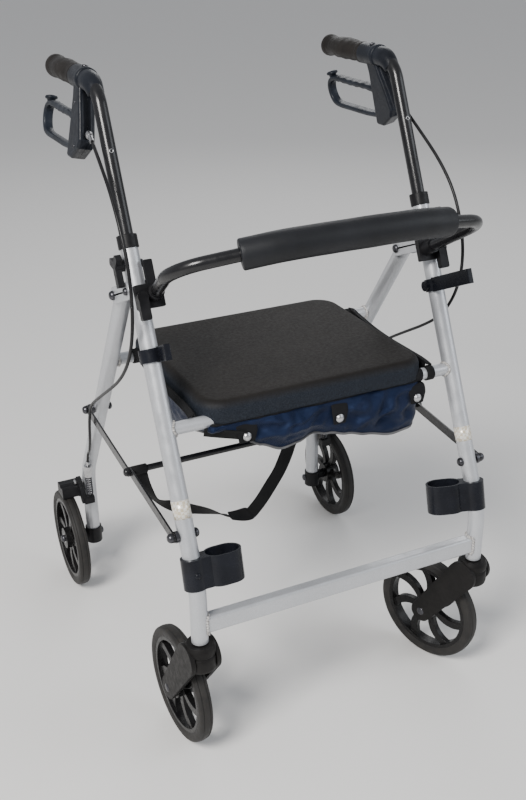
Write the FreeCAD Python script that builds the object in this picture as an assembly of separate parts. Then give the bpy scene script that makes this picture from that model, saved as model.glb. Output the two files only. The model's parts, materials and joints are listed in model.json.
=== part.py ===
import FreeCAD, Part
import math
import os

# Four-wheeled folding walker.  Millimetres.  +Z up, the front is -Y, the person walking with it stands
# at +Y, and X = 0 is its middle plane.  The origin is on the floor under its middle.  "left" is -X.

V = FreeCAD.Vector
X_AXIS = V(1, 0, 0)
Y_AXIS = V(0, 1, 0)
Z_AXIS = V(0, 0, 1)
SIDES = (("left", -1), ("right", 1))

# ---- driving dimensions ----------------------------------------------------------------------------
LEG_X = 238.0              # middle plane of each pair of legs, from X = 0
TUBE_R = 12.7              # frame tube, 25.4 mm outside
TUBE_WALL = 1.5
LEAN = 24.7                # front legs lean back by this angle, degrees
FRONT_Y = -316.0           # front leg's upright foot and caster stem
FRONT_CORNER_Z = 318.0     # where the front leg turns from upright to leaning
LEG_BOTTOM_Z = 228.0
LEG_TOP_Z = 771.0
BEND_R = 100.0             # bends of the frame tubes

PIVOT_Y, PIVOT_Z = -74.0, 680.0      # fold pivot of the rear frame
BRACKET_Z = 706.0                    # rivet of the pivot plates on the front leg
REAR_LINK_Z = 420.0                  # side link's pivot on the rear leg
FRONT_LINK_Z = 390.0                 # side link's pivot on the front leg
REAR_SLOPE = 0.6913                  # rear leg: backwards travel per millimetre down
REAR_FOOT_Y = 238.7                  # upright lower end of the rear leg

SEAT_TUBE_Z = 525.0
SEAT_TUBE_R = 9.5
REAR_TUBE_Z = 536.5
REAR_TUBE_Y = 25.2
CROSSBAR_Z = 256.5
CROSSBAR_H = 28.0
CROSSBAR_D = 19.0

WHEEL_R = 93.0
TYRE_W = 22.0
HUB_HALF = 14.0
REAR_WHEEL_X = 281.0
REAR_WHEEL_Y = 242.5
STEM_R = 8.0
TRAIL = 78.0                                     # caster trail
CASTER_ANGLE = {"left": -4.0, "right": -21.0}    # swing from +Y towards +X
AXLE_R = 4.0
RUNNING = 0.05                                   # radial clearance of turning fits

HANDLE_R = 10.0
GRIP_Z = 966.0
GRIP_END_Y = 190.0
HANDLE_BEND_R = 50.0
HANDLE_BOTTOM_Z = 610.0
HOUSING_ROLL = 12.0        # brake housings lean outwards under the grips
KNOB_Z = 738.7             # height knobs
SADDLE_Z = 703.0           # backrest knobs

SEAT_HALF = 187.0
SEAT_FRONT_Y = -238.0
SEAT_REAR_Y = 88.0
SEAT_TOP_Z = 556.0
SEAT_RIM_Z = 523.0
SEAT_UNDER_Z = 546.5
SEAT_CORNER_R = 42.0

LINK_T = 3.0
LINK_HALF_W = 7.5
FRONT_LINK_X = 256.0       # inner face of the front links
REAR_LINK_X = 259.6        # inner face of the rear links, clear of the front ones
ROD_Y, ROD_Z = -101.0, 404.0

CABLE_R = 2.5

MIDDLE_SHIFT = V(0, 2.76, 0)         # brings the middle of the overall length to Y = 0

LEAN_RAD = math.radians(LEAN)
LEG_DIR = V(0, math.sin(LEAN_RAD), math.cos(LEAN_RAD))
LEG_FRONT = V(0, -math.cos(LEAN_RAD), math.sin(LEAN_RAD))


def front_leg_y(z):
    """Y of the leaning front leg's middle line at height z."""
    return FRONT_Y + (z - FRONT_CORNER_Z) * math.tan(LEAN_RAD)


def rear_leg_y(z):
    """Y of the sloping rear leg's middle line at height z."""
    return PIVOT_Y + (PIVOT_Z - z) * REAR_SLOPE


REAR_CORNER_Z = PIVOT_Z - (REAR_FOOT_Y - PIVOT_Y) / REAR_SLOPE
REAR_DIR = V(0, REAR_SLOPE, -1).normalize()


# ---- building blocks -------------------------------------------------------------------------------
def save(name, *shapes):
    """Write one node; several solids make a group."""
    shape = shapes[0].copy() if len(shapes) == 1 else Part.makeCompound(list(shapes))
    shape.translate(MIDDLE_SHIFT)
    shape.exportStep("parts/" + name + ".step")


def fuse(first, *others):
    """One clean solid from several."""
    return first.fuse(list(others)).removeSplitter()


def cylinder(start, end, radius):
    """Round bar between two points."""
    axis = end - start
    return Part.makeCylinder(radius, axis.Length, start, axis)


def ring(start, end, outer, inner):
    """Tube or washer between two points."""
    axis = (end - start).normalize()
    return cylinder(start, end, outer).cut(cylinder(start - axis, end + axis, inner))


def box(x_range, y_range, z_range):
    """Box from pairs of limits."""
    size = [b - a for a, b in (x_range, y_range, z_range)]
    return Part.makeBox(size[0], size[1], size[2], V(x_range[0], y_range[0], z_range[0]))


def along(shape, direction):
    """Straight edges of a shape that run in one direction."""
    found = []
    for edge in shape.Edges:
        if isinstance(edge.Curve, (Part.Line, Part.LineSegment)):
            run = edge.Vertexes[-1].Point - edge.Vertexes[0].Point
            if run.Length > 0 and abs(run.normalize().dot(direction)) > 0.999:
                found.append(edge)
    return found


def soft_box(x_range, y_range, z_range, radius, direction):
    """Box whose edges in one direction are rounded."""
    body = box(x_range, y_range, z_range)
    return body.makeFillet(radius, along(body, direction))


def round_sides(body, half, radius):
    """Round the outlines of a slab's two side faces, at X = half on both sides of the middle."""
    edges = [edge for edge in body.Edges if abs(abs(edge.CenterOfMass.x) - half) < 0.01]
    return body.makeFillet(radius, edges)


def rounded_path(points, radii):
    """Straight runs joined by tangent arcs, one radius for each inner point."""
    edges = []
    start = points[0]
    for before, corner, after, radius in zip(points, points[1:], points[2:], radii):
        arriving = (corner - before).normalize()
        leaving = (after - corner).normalize()
        half_turn = arriving.getAngle(leaving) / 2
        reach = radius * math.tan(half_turn)
        arc_start = corner - arriving * reach
        arc_end = corner + leaving * reach
        inward = (leaving - arriving).normalize()
        middle = corner + inward * (radius / math.cos(half_turn) - radius)
        edges.append(Part.LineSegment(start, arc_start).toShape())
        edges.append(Part.Arc(arc_start, middle, arc_end).toShape())
        start = arc_end
    edges.append(Part.LineSegment(start, points[-1]).toShape())
    return Part.Wire(edges)


def cord_radii(points):
    """The largest arc that each corner's runs leave room for."""
    radii = []
    for before, corner, after in zip(points, points[1:], points[2:]):
        shorter = min((corner - before).Length, (after - corner).Length)
        turn = (corner - before).getAngle(after - corner)
        radii.append(0.45 * shorter / math.tan(turn / 2))
    return radii


def sweep(path, radius):
    """Round solid along a path."""
    start = path.Edges[0].Vertexes[0].Point
    tangent = path.Edges[0].tangentAt(path.Edges[0].FirstParameter)
    profile = Part.Wire(Part.Circle(start, tangent, radius).toShape())
    return path.makePipeShell([profile], True, False)


def outline(points):
    """Closed face through points; a middle point in brackets makes the run to the next an arc."""
    edges = []
    for index, point in enumerate(points):
        following = points[(index + 1) % len(points)]
        if isinstance(point, tuple):
            continue
        if isinstance(following, tuple):
            end = points[(index + 2) % len(points)]
            edges.append(Part.Arc(point, following[0], end).toShape())
        else:
            edges.append(Part.LineSegment(point, following).toShape())
    return Part.Face(Part.Wire(edges))


def yz_slab(corners, x_range):
    """Prism across X from (y, z) corners."""
    points = [V(x_range[0], y, z) for y, z in corners]
    return outline(points).extrude(V(x_range[1] - x_range[0], 0, 0))


def strap_plate(first, second, radius, x_range):
    """Flat link with round ends between two (y, z) points."""
    a = V(x_range[0], first[0], first[1])
    b = V(x_range[0], second[0], second[1])
    run = (b - a).normalize()
    side = X_AXIS.cross(run) * radius
    face = outline([a + side, (a - run * radius,), a - side, b - side, (b + run * radius,), b + side])
    return face.extrude(V(x_range[1] - x_range[0], 0, 0))


def spun(profile_points, base, axis):
    """Solid turned about an axis from (radius, height) points."""
    axis_dir = V(axis).normalize()
    helper = Z_AXIS if abs(axis_dir.z) < 0.9 else X_AXIS
    radial = axis_dir.cross(helper).normalize()
    points = []
    for item in profile_points:
        bracketed = isinstance(item[0], tuple)
        radius, height = item[0] if bracketed else item
        point = base + radial * radius + axis_dir * height
        points.append((point,) if bracketed else point)
    return outline(points).revolve(base, axis_dir, 360)


def dome_cap(base, axis, radius, height):
    """Domed nut or rivet head standing on base."""
    profile = [(0, 0), (radius, 0), (radius, height * 0.35), (radius * 0.84, height * 0.72),
               (radius * 0.55, height * 0.94), (radius * 0.25, height), (0, height)]
    return spun(profile, base, axis)


def mirrored(shape):
    """The same piece on the other side of X = 0."""
    return shape.mirror(V(0, 0, 0), X_AXIS)


def place_on(shape, origin, z_dir, x_dir=X_AXIS):
    """Move a piece modelled about the origin so that its Z points along z_dir."""
    z_unit = V(z_dir).normalize()
    x_unit = (x_dir - z_unit * x_dir.dot(z_unit)).normalize()
    y_unit = z_unit.cross(x_unit)
    matrix = FreeCAD.Matrix(x_unit.x, y_unit.x, z_unit.x, origin.x,
                            x_unit.y, y_unit.y, z_unit.y, origin.y,
                            x_unit.z, y_unit.z, z_unit.z, origin.z,
                            0, 0, 0, 1)
    moved = shape.copy()
    moved.Placement = FreeCAD.Placement(matrix).multiply(shape.Placement)
    return moved


def front_leg_point(side, z):
    return V(side * LEG_X, front_leg_y(z), z)


def rear_leg_point(side, z):
    return V(side * LEG_X, rear_leg_y(z), z)


# ---- front frame -----------------------------------------------------------------------------------
FRONT_BOLT_R = 4.0


def front_leg_path(side):
    points = [V(side * LEG_X, FRONT_Y, LEG_BOTTOM_Z),
              V(side * LEG_X, FRONT_Y, FRONT_CORNER_Z),
              front_leg_point(side, LEG_TOP_Z)]
    return rounded_path(points, [BEND_R])


def front_legs():
    """Bent front tubes, drilled for the link bolts and the height knobs."""
    for name, side in SIDES:
        path = front_leg_path(side)
        leg = sweep(path, TUBE_R).cut(sweep(path, TUBE_R - TUBE_WALL))
        link = front_leg_point(side, FRONT_LINK_Z)
        knob = front_leg_point(side, KNOB_Z)
        rivet = front_leg_point(side, BRACKET_Z)
        reach = X_AXIS * 20
        leg = leg.cut(cylinder(link - reach, link + reach, FRONT_BOLT_R))
        leg = leg.cut(cylinder(rivet - reach, rivet + reach, 3.0))
        leg = leg.cut(cylinder(knob, knob + reach * side, 3.2))
        save("front_leg_" + name, leg)


def front_crossbar():
    """Rounded rectangular tube between the legs' upright feet, coped to them."""
    half = LEG_X - TUBE_R + 3
    low, high = CROSSBAR_Z - CROSSBAR_H / 2, CROSSBAR_Z + CROSSBAR_H / 2
    near, far = FRONT_Y - CROSSBAR_D / 2, FRONT_Y + CROSSBAR_D / 2
    bar = soft_box((-half, half), (near, far), (low, high), 4.5, X_AXIS)
    wall = 1.5
    bore = soft_box((-half - 1, half + 1), (near + wall, far - wall), (low + wall, high - wall), 3.0, X_AXIS)
    bar = bar.cut(bore)
    for _, side in SIDES:
        foot = cylinder(V(side * LEG_X, FRONT_Y, low - 5), V(side * LEG_X, FRONT_Y, high + 5), TUBE_R)
        bar = bar.cut(foot)
    save("front_crossbar", bar)


def seat_front_tube():
    """Round tube that carries the seat hinge, coped to the leaning legs."""
    y = front_leg_y(SEAT_TUBE_Z)
    half = LEG_X - TUBE_R + 3
    tube = ring(V(-half, y, SEAT_TUBE_Z), V(half, y, SEAT_TUBE_Z), SEAT_TUBE_R, SEAT_TUBE_R - TUBE_WALL)
    for _, side in SIDES:
        below = front_leg_point(side, SEAT_TUBE_Z - 40)
        above = front_leg_point(side, SEAT_TUBE_Z + 40)
        tube = tube.cut(cylinder(below, above, TUBE_R))
    save("seat_front_tube", tube)


def leg_bushes():
    """Moulded collars at the tops of the front legs and caster bushes in their feet."""
    solids = []
    for _, side in SIDES:
        top = front_leg_point(side, LEG_TOP_Z)
        collar = ring(top - LEG_DIR * 14, top + LEG_DIR * 5, 14.6, TUBE_R)
        lip = ring(top, top + LEG_DIR * 5, 14.6, HANDLE_R + 0.1)
        sleeve = ring(top - LEG_DIR * 20, top + LEG_DIR * 5, TUBE_R - TUBE_WALL, HANDLE_R + 0.1)
        solids.append(fuse(collar, lip, sleeve))
        foot = V(side * LEG_X, FRONT_Y, LEG_BOTTOM_Z)
        bush = ring(foot, foot + Z_AXIS * 62, TUBE_R - TUBE_WALL, STEM_R + RUNNING)
        solids.append(bush)
    save("leg_bushes", *solids)


PLATE_T = 3.0
PLATE_GAP = 0.3
PLATE_R = 12.0


def pivot_plates():
    """Pairs of flat plates that carry the rear frame's pivot behind each front leg."""
    front = (front_leg_y(BRACKET_Z), BRACKET_Z)
    rear = (PIVOT_Y, PIVOT_Z)
    plates = []
    for _, side in SIDES:
        for face in (-1, 1):
            inner = side * LEG_X + face * (TUBE_R + PLATE_GAP)
            x_range = (inner, inner + face * PLATE_T)
            plate = strap_plate(front, rear, PLATE_R, x_range)
            for (y, z), hole in ((front, 3.0), (rear, FRONT_BOLT_R)):
                plate = plate.cut(cylinder(V(inner - 9, y, z), V(inner + 9, y, z), hole))
            plates.append(plate)
    save("pivot_plates", *plates)


def through_bolt(inner_x, outer_x, y, z, radius, head_r, head_h, side):
    """Bolt along X with a flat dome head inboard and a cap nut outboard."""
    shank = cylinder(V(side * inner_x, y, z), V(side * outer_x, y, z), radius)
    head = dome_cap(V(side * inner_x, y, z), V(-side, 0, 0), head_r, head_h)
    nut = dome_cap(V(side * outer_x, y, z), V(side, 0, 0), head_r, head_h + 1.5)
    return fuse(shank, head, nut)


def frame_bolts():
    """Rivets of the pivot plates, pivot bolts and the front link bolts with their spacers."""
    solids = []
    plate_out = TUBE_R + PLATE_GAP + PLATE_T
    for _, side in SIDES:
        y, z = front_leg_y(BRACKET_Z), BRACKET_Z
        for face in (-1, 1):
            start = V(side * LEG_X + face * (TUBE_R - TUBE_WALL), y, z)
            end = V(side * LEG_X + face * plate_out, y, z)
            rivet = cylinder(start, end, 3.0)
            solids.append(fuse(rivet, dome_cap(end, V(face, 0, 0), 5.5, 5.0)))
        solids.append(through_bolt(LEG_X - plate_out, LEG_X + plate_out, PIVOT_Y, PIVOT_Z,
                                   FRONT_BOLT_R, 7.0, 5.0, side))
        y, z = front_leg_y(FRONT_LINK_Z), FRONT_LINK_Z
        bolt = through_bolt(LEG_X - TUBE_R, FRONT_LINK_X + LINK_T + 0.4, y, z, FRONT_BOLT_R, 7.0, 6.0, side)
        spacer = cylinder(V(side * (LEG_X + TUBE_R), y, z), V(side * (FRONT_LINK_X - 0.4), y, z), 8.5)
        solids.append(fuse(bolt, spacer))
        knob = front_leg_point(side, KNOB_Z)
        inner = knob - X_AXIS * side * TUBE_R
        solids.append(dome_cap(inner, V(-side, 0, 0), 6.0, 4.0))
    save("frame_bolts", *solids)


CUP_Z = {"left": 339.0, "right": 340.0}
CUP_TILT = 14.0
CUP_TURN = {"left": 0.0, "right": 154.0}
CUP_H = 46.0
CUP_LONG = 56.0
CUP_WIDE = 42.0
CUP_WALL = 3.0
CLIP_Z = {"left": 621.5, "right": 645.0}
CLIP_H = 22.0
CLIP_REACH = {"left": 58.0, "right": 108.0}


def oval_face(length, width, inset, z):
    """Flat face with round ends from y = 0 side to the far end."""
    r = width / 2 - inset
    near, far = width / 2, length - width / 2
    points = [V(near, -r, z), V(far, -r, z), (V(far + r, 0, z),), V(far, r, z), V(near, r, z),
              (V(near - r, 0, z),)]
    return outline(points)


def cane_holders():
    """Low cups with open loops that point inwards, and upper clips with hooks that point forwards."""
    solids = []
    for name, side in SIDES:
        leg_space = sweep(front_leg_path(side), TUBE_R)
        clamp = Part.makeCylinder(17.0, CUP_H, V(0, 0, -CUP_H / 2))
        neck = soft_box((4, 26), (-14, 14), (-CUP_H / 2, CUP_H / 2), 3.0, Z_AXIS)
        outer = oval_face(CUP_LONG, CUP_WIDE, 0, -CUP_H / 2).extrude(Z_AXIS * CUP_H)
        inner = oval_face(CUP_LONG, CUP_WIDE, CUP_WALL, -CUP_H / 2 - 1).extrude(Z_AXIS * (CUP_H + 2))
        outer.translate(V(18, 0, 0))
        inner.translate(V(18, 0, 0))
        screw = dome_cap(V(0, -16.0, 0), V(0, -1, 0), 4.5, 3.5)
        cup = clamp.fuse([neck, outer, screw]).cut(inner)
        cup.rotate(V(0, 0, 0), Z_AXIS, CUP_TURN[name])
        cup.rotate(V(0, 0, 0), X_AXIS, -CUP_TILT)
        cup.translate(V(side * LEG_X, front_leg_y(CUP_Z[name]) + 1.6, CUP_Z[name]))
        cup = cup.cut(leg_space)
        solids.append(max(cup.Solids, key=lambda solid: solid.Volume))

        centre = front_leg_point(side, CLIP_Z[name])
        half = LEG_DIR * (CLIP_H / 2 - 1.5)
        band = cylinder(centre - half, centre + half, 16.2)
        boss = cylinder(centre, centre - X_AXIS * side * 20.5, 8.0)
        reach = CLIP_REACH[name]
        hook = soft_box((8, reach), (7.0, 12.0), (-CLIP_H / 2, CLIP_H / 2), 2.0, Z_AXIS)
        tip = soft_box((reach - 12, reach), (3.0, 12.0), (-CLIP_H / 2, CLIP_H / 2), 1.5, Z_AXIS)
        arm = fuse(hook, tip)
        if side > 0:
            arm = arm.mirror(V(0, 0, 0), Y_AXIS)
        arm = place_on(arm, centre, LEG_DIR, LEG_FRONT)
        clip = band.fuse([boss, arm]).cut(leg_space)
        solids.append(max(clip.Solids, key=lambda solid: solid.Volume))
    save("cane_holders", *solids)


# ---- backrest --------------------------------------------------------------------------------------
BOW_R = 9.0
BOW_RISE = 31.0
PAD_R = 21.0
PAD_HALF = 155.0
BOW_ROOT = V(0, -158.0, SADDLE_Z)
LOCK_X = 241.5
LOCK_DROP = -10.0          # lever's pin, along the leg from the saddle's middle
SADDLE_FACE = 21.0         # saddle's front face, from the leg's middle line


def bow_point(x, reach):
    """Point of the bow's plane, measured forwards from the saddles."""
    rise = math.radians(BOW_RISE)
    return BOW_ROOT + V(x, -reach * math.cos(rise), reach * math.sin(rise))


def bow_path():
    corners = [(-220, 0), (-241, 143), (-105, 189), (105, 189), (241, 143), (220, 0)]
    points = [bow_point(x, reach) for x, reach in corners]
    return rounded_path(points, [55, 400, 400, 55])


def backrest():
    """Bow, its foam pad, the saddles on the legs and their quarter-turn levers."""
    path = bow_path()
    solid_bow = sweep(path, BOW_R)
    save("backrest_bar", solid_bow.cut(sweep(path, BOW_R - 1.5)))
    pad = sweep(path, PAD_R).common(box((-PAD_HALF, PAD_HALF), (-500, 0), (600, 900)))
    pad = pad.cut(sweep(path, BOW_R))
    save("backrest_pad", pad)

    saddles = []
    for name, side in SIDES:
        centre = front_leg_point(side, SADDLE_Z)
        lock_x = LOCK_X - LEG_X
        block = soft_box((12.0, SADDLE_FACE), (-30, 10), (-26, 8), 2.0, X_AXIS)
        tab = soft_box((12.5, SADDLE_FACE - 1), (-23, -10), (5, 41), 2.0, X_AXIS)
        body = fuse(block, tab)
        if side < 0:
            body = body.mirror(V(0, 0, 0), Y_AXIS)
        body = place_on(body, centre, LEG_DIR, LEG_FRONT)
        start = bow_point(side * 220, -3)
        socket = cylinder(start, bow_point(side * (220 + 21 * 22 / 143), 22), 11.2)
        pin_base = centre + X_AXIS * side * lock_x + LEG_DIR * LOCK_DROP
        pin_hole = cylinder(pin_base + LEG_FRONT * 13.5, pin_base + LEG_FRONT * 40, 3.05)
        saddle = body.fuse(socket).cut(sweep(front_leg_path(side), TUBE_R))
        saddle = saddle.cut([solid_bow, pin_hole])
        saddles.append(max(saddle.Solids, key=lambda solid: solid.Volume))

        hub = Part.makeCylinder(8.0, 12.0, V(0, 0, 0.4))
        tail = soft_box((0, 32), (-7, 7), (1.5, 12.4), 3.0, Z_AXIS)
        pin = Part.makeCylinder(3.0, 7.0, V(0, 0, -6.6))
        lever = place_on(fuse(hub, tail, pin), pin_base + LEG_FRONT * SADDLE_FACE, LEG_FRONT, LEG_DIR * -1)
        save("backrest_lock_" + name, lever)
    save("backrest_saddles", *saddles)


# ---- push handles ----------------------------------------------------------------------------------
GRIP_R = 17.0
HOUSING_HALF = 12.0
LEVER_HALF = 7.5
LEVER_PIVOT = (30.0, -86.0)


def rolled(shape, side):
    """Carry a piece from the grip's own frame (grip axis along Y through 0) to the walker."""
    placed = shape.copy()
    placed.rotate(V(0, 0, 0), Y_AXIS, HOUSING_ROLL)
    placed.translate(V(-LEG_X, 0, GRIP_Z))
    return placed if side < 0 else mirrored(placed)


def handle_path(side):
    points = [front_leg_point(side, HANDLE_BOTTOM_Z),
              V(side * LEG_X, front_leg_y(GRIP_Z), GRIP_Z),
              V(side * LEG_X, GRIP_END_Y - 4, GRIP_Z)]
    return rounded_path(points, [HANDLE_BEND_R])


def grip():
    """Rubber grip with a swollen palm and a closed end."""
    profile = [(HANDLE_R, 68), (GRIP_R, 68), (GRIP_R, 74), (15.0, 82), ((GRIP_R, 120),), (15.2, 165),
               (GRIP_R + 1, 176), (GRIP_R + 1, 184), (15.0, 188), (9.0, GRIP_END_Y), (0, GRIP_END_Y),
               (0, GRIP_END_Y - 4),
               (HANDLE_R, GRIP_END_Y - 4)]
    return spun(profile, V(0, 0, 0), Y_AXIS)


def brake_housing():
    """Two half shells that clamp the tube and close over the lever's root, with the lever's pin."""
    corners = [(22, -8), (50, -8), (46, -26), (44, -111), (24, -111), (-4, -92), (-9, -80), (2, -52),
               (15, -26)]
    body = yz_slab(corners, (-HOUSING_HALF, HOUSING_HALF))
    body = body.makeFillet(5.0, along(body, X_AXIS))
    body = round_sides(body, HOUSING_HALF, 4.0)
    body = body.fuse(ring(V(0, 22, 0), V(0, 67.5, 0), 16.5, HANDLE_R))
    body = body.cut(cylinder(V(0, 10, 0), V(0, 80, 0), HANDLE_R))
    pocket = yz_slab([(12, -43), (60, -43), (60, -108.5), (22, -108.5), (12, -98)],
                     (-LEVER_HALF - 0.5, LEVER_HALF + 0.5))
    y, z = LEVER_PIVOT
    pin = cylinder(V(-HOUSING_HALF + 1, y, z), V(HOUSING_HALF - 1, y, z), 3.0)
    body = body.cut([pocket, pin])
    halves = []
    for face in (-1, 1):
        half = body.common(box((0, face * 30) if face > 0 else (-30, 0), (-40, 120), (-150, 40)))
        halves.append(max(half.Solids, key=lambda solid: solid.Volume))
    return halves + [pin]


def brake_lever():
    """Closed loop lever under the grip, pivoted inside the housing."""
    outer = [(21, -50), (58, -47), (120, -52), (168, -47), (190, -44), (200, -52), (211, -68), (206, -88),
             (194, -106), (182, -110), (120, -107), (58, -106), (24, -100), (20, -86)]
    inner = [(58, -62), (120, -65), (170, -62), (190, -64), (199, -72), (196, -84), (186, -97), (120, -96),
             (58, -95)]
    half = LEVER_HALF
    lever = yz_slab(outer, (-half, half)).cut(yz_slab(inner, (-half - 1, half + 1)))
    lever = lever.makeFillet(3.0, [edge for edge in along(lever, X_AXIS) if edge.Vertexes[0].Point.y > 50])
    y, z = LEVER_PIVOT
    return lever.cut(cylinder(V(-20, y, z), V(20, y, z), 3.05))


CABLE_START = V(0, -33.0, -77.0)


def cable_adjuster():
    """Barrel adjuster in the front of the housing."""
    tail = V(0, -7.0, -67.5)
    direction = (CABLE_START - tail).normalize()
    barrel = cylinder(tail + direction * 2.0, CABLE_START - direction * 1.2, 3.6)
    nut = cylinder(tail + direction * 6, tail + direction * 11, 5.2)
    return fuse(barrel, nut)


def handles():
    for name, side in SIDES:
        path = handle_path(side)
        save("handle_tube_" + name, sweep(path, HANDLE_R).cut(sweep(path, HANDLE_R - 1.5)))
        save("grip_" + name, rolled(grip(), side))
        housing = [rolled(piece.cut(cable_adjuster()), side) for piece in brake_housing()]
        tube_space = sweep(path, HANDLE_R)
        save("brake_housing_" + name, *[piece.cut(tube_space) for piece in housing])
        save("brake_lever_" + name, rolled(brake_lever(), side))
        save("cable_adjuster_" + name, rolled(cable_adjuster(), side))


def wing_knob():
    """Three-lobed knob on a stud; its base is at 0 and its tail points along +X."""
    body = Part.makeCylinder(8.5, 12.0)
    tail = soft_box((0, 30), (-6, 6), (4.6, 13.5), 3.0, Z_AXIS)
    pieces = [tail]
    for turn in (125, -125):
        lobe = soft_box((0, 19), (-5.5, 5.5), (4.6, 13.5), 3.0, Z_AXIS)
        lobe.rotate(V(0, 0, 0), Z_AXIS, turn)
        pieces.append(lobe)
    return fuse(body, *pieces)


def height_knobs():
    """Knobs on the outer sides of the front legs that pinch the handle tubes."""
    for name, side in SIDES:
        point = front_leg_point(side, KNOB_Z)
        base = point + X_AXIS * side * (TUBE_R + 0.5)
        knob = place_on(wing_knob(), base, X_AXIS * side, LEG_DIR * -1)
        stud = cylinder(point + X_AXIS * side * (HANDLE_R + 0.3), base + X_AXIS * side * 2, 3.1)
        save("height_knob_" + name, fuse(knob, stud))


# ---- seat ------------------------------------------------------------------------------------------
HINGE_X = 120.0
HINGE_HALF = 12.0
HINGE_R = 12.5


def seat():
    """Moulded tray, open underneath, with a deep rim."""
    wall = 5.0
    plate = soft_box((-SEAT_HALF, SEAT_HALF), (SEAT_FRONT_Y, SEAT_REAR_Y), (SEAT_RIM_Z, SEAT_TOP_Z),
                     SEAT_CORNER_R, Z_AXIS)
    top_edges = [edge for edge in plate.Edges
                 if all(abs(vertex.Point.z - SEAT_TOP_Z) < 0.01 for vertex in edge.Vertexes)]
    plate = plate.makeFillet(8.0, top_edges)
    hollow = soft_box((-SEAT_HALF + wall, SEAT_HALF - wall), (SEAT_FRONT_Y + wall, SEAT_REAR_Y - wall),
                      (SEAT_RIM_Z - 1, SEAT_UNDER_Z), SEAT_CORNER_R - wall, Z_AXIS)
    tube_y = front_leg_y(SEAT_TUBE_Z)
    front_notch = fuse(cylinder(V(-300, tube_y, SEAT_TUBE_Z), V(300, tube_y, SEAT_TUBE_Z), SEAT_TUBE_R + 0.6),
                       box((-300, 300), (tube_y - SEAT_TUBE_R - 0.6, tube_y + SEAT_TUBE_R + 0.6),
                           (SEAT_TUBE_Z - 20, SEAT_TUBE_Z)))
    rear_notch = box((-300, 300), (REAR_TUBE_Y - 17, REAR_TUBE_Y + 10.5), (SEAT_RIM_Z - 1, SEAT_UNDER_Z))
    save("seat", plate.cut([hollow, front_notch, rear_notch]))

    clips = []
    y = front_leg_y(SEAT_TUBE_Z)
    for x in (-HINGE_X, HINGE_X):
        start = V(x - HINGE_HALF, y, SEAT_TUBE_Z)
        end = V(x + HINGE_HALF, y, SEAT_TUBE_Z)
        collar = cylinder(start, end, HINGE_R - 1.2)
        foot = box((x - HINGE_HALF, x + HINGE_HALF), (y - 9, y + 22), (SEAT_TUBE_Z + 2, SEAT_UNDER_Z))
        bore = cylinder(start - X_AXIS, end + X_AXIS, SEAT_TUBE_R + RUNNING)
        clips.append(collar.fuse(foot).cut(bore))
    save("seat_hinge_clips", *clips)


# ---- bag -------------------------------------------------------------------------------------------
BAG_HALF = 180.0
BAG_FRONT_Y = -231.0
BAG_REAR_Y = 8.0
BAG_BOTTOM_Z = 444.0
BAG_FRONT_TOP_Z = 503.0
BAG_REAR_TOP_Z = 526.0
BAG_WALL = 2.5


def bag():
    """Cloth tub that hangs from the front seat tube."""
    top = BAG_REAR_TOP_Z
    outer = box((-BAG_HALF, BAG_HALF), (BAG_FRONT_Y, BAG_REAR_Y), (BAG_BOTTOM_Z, top))
    outer = outer.makeFillet(14.0, along(outer, Z_AXIS))
    inner = box((-BAG_HALF + BAG_WALL, BAG_HALF - BAG_WALL), (BAG_FRONT_Y + BAG_WALL, BAG_REAR_Y - BAG_WALL),
                (BAG_BOTTOM_Z + BAG_WALL, top + 1))
    inner = inner.makeFillet(14.0 - BAG_WALL, along(inner, Z_AXIS))
    tub = outer.cut(inner)
    tube_y = front_leg_y(SEAT_TUBE_Z)
    front_cut = box((-300, 300), (BAG_FRONT_Y - 1, tube_y + 16), (BAG_FRONT_TOP_Z, top + 1))
    tub = tub.cut(front_cut)
    shelf = box((-165, 165), (BAG_FRONT_Y + 1, tube_y + 2), (BAG_FRONT_TOP_Z - 2, BAG_FRONT_TOP_Z))
    neck = box((-165, 165), (tube_y, tube_y + 2), (BAG_FRONT_TOP_Z - 2, SEAT_TUBE_Z - SEAT_TUBE_R + 0.5))
    tub = tub.fuse([shelf, neck])
    tube = cylinder(V(-300, tube_y, SEAT_TUBE_Z), V(300, tube_y, SEAT_TUBE_Z), SEAT_TUBE_R + 0.05)
    tub = tub.cut(tube)
    for x in (-HINGE_X, HINGE_X):
        tub = tub.cut(box((x - HINGE_HALF - 1, x + HINGE_HALF + 1), (tube_y - 5, tube_y + 3),
                          (BAG_FRONT_TOP_Z + 0.1, SEAT_TUBE_Z)))
    save("bag", tub)
    snaps = []
    for x, z in ((-122, 497), (30, 492), (166, 496)):
        snaps.append(dome_cap(V(x, BAG_FRONT_Y, z), V(0, -1, 0), 5.5, 3.0))
    save("bag_snaps", *snaps)


# ---- rear frame ------------------------------------------------------------------------------------
REAR_LEG_BOTTOM_Z = 82.0
STOP_TOP = V(250.0, 188.0, 268.0)
STOP_BOTTOM = V(250.0, 194.0, 244.0)
ARM_PIVOT = (236.0, 212.0)
ARM_WIRE = V(246.0, 207.0, 188.0)
SHOE_GAP = 2.3


def rear_leg_path(side):
    points = [V(side * LEG_X, PIVOT_Y, PIVOT_Z) - REAR_DIR * 12,
              V(side * LEG_X, REAR_FOOT_Y, REAR_CORNER_Z),
              V(side * LEG_X, REAR_FOOT_Y, REAR_LEG_BOTTOM_Z)]
    return rounded_path(points, [BEND_R])


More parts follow.
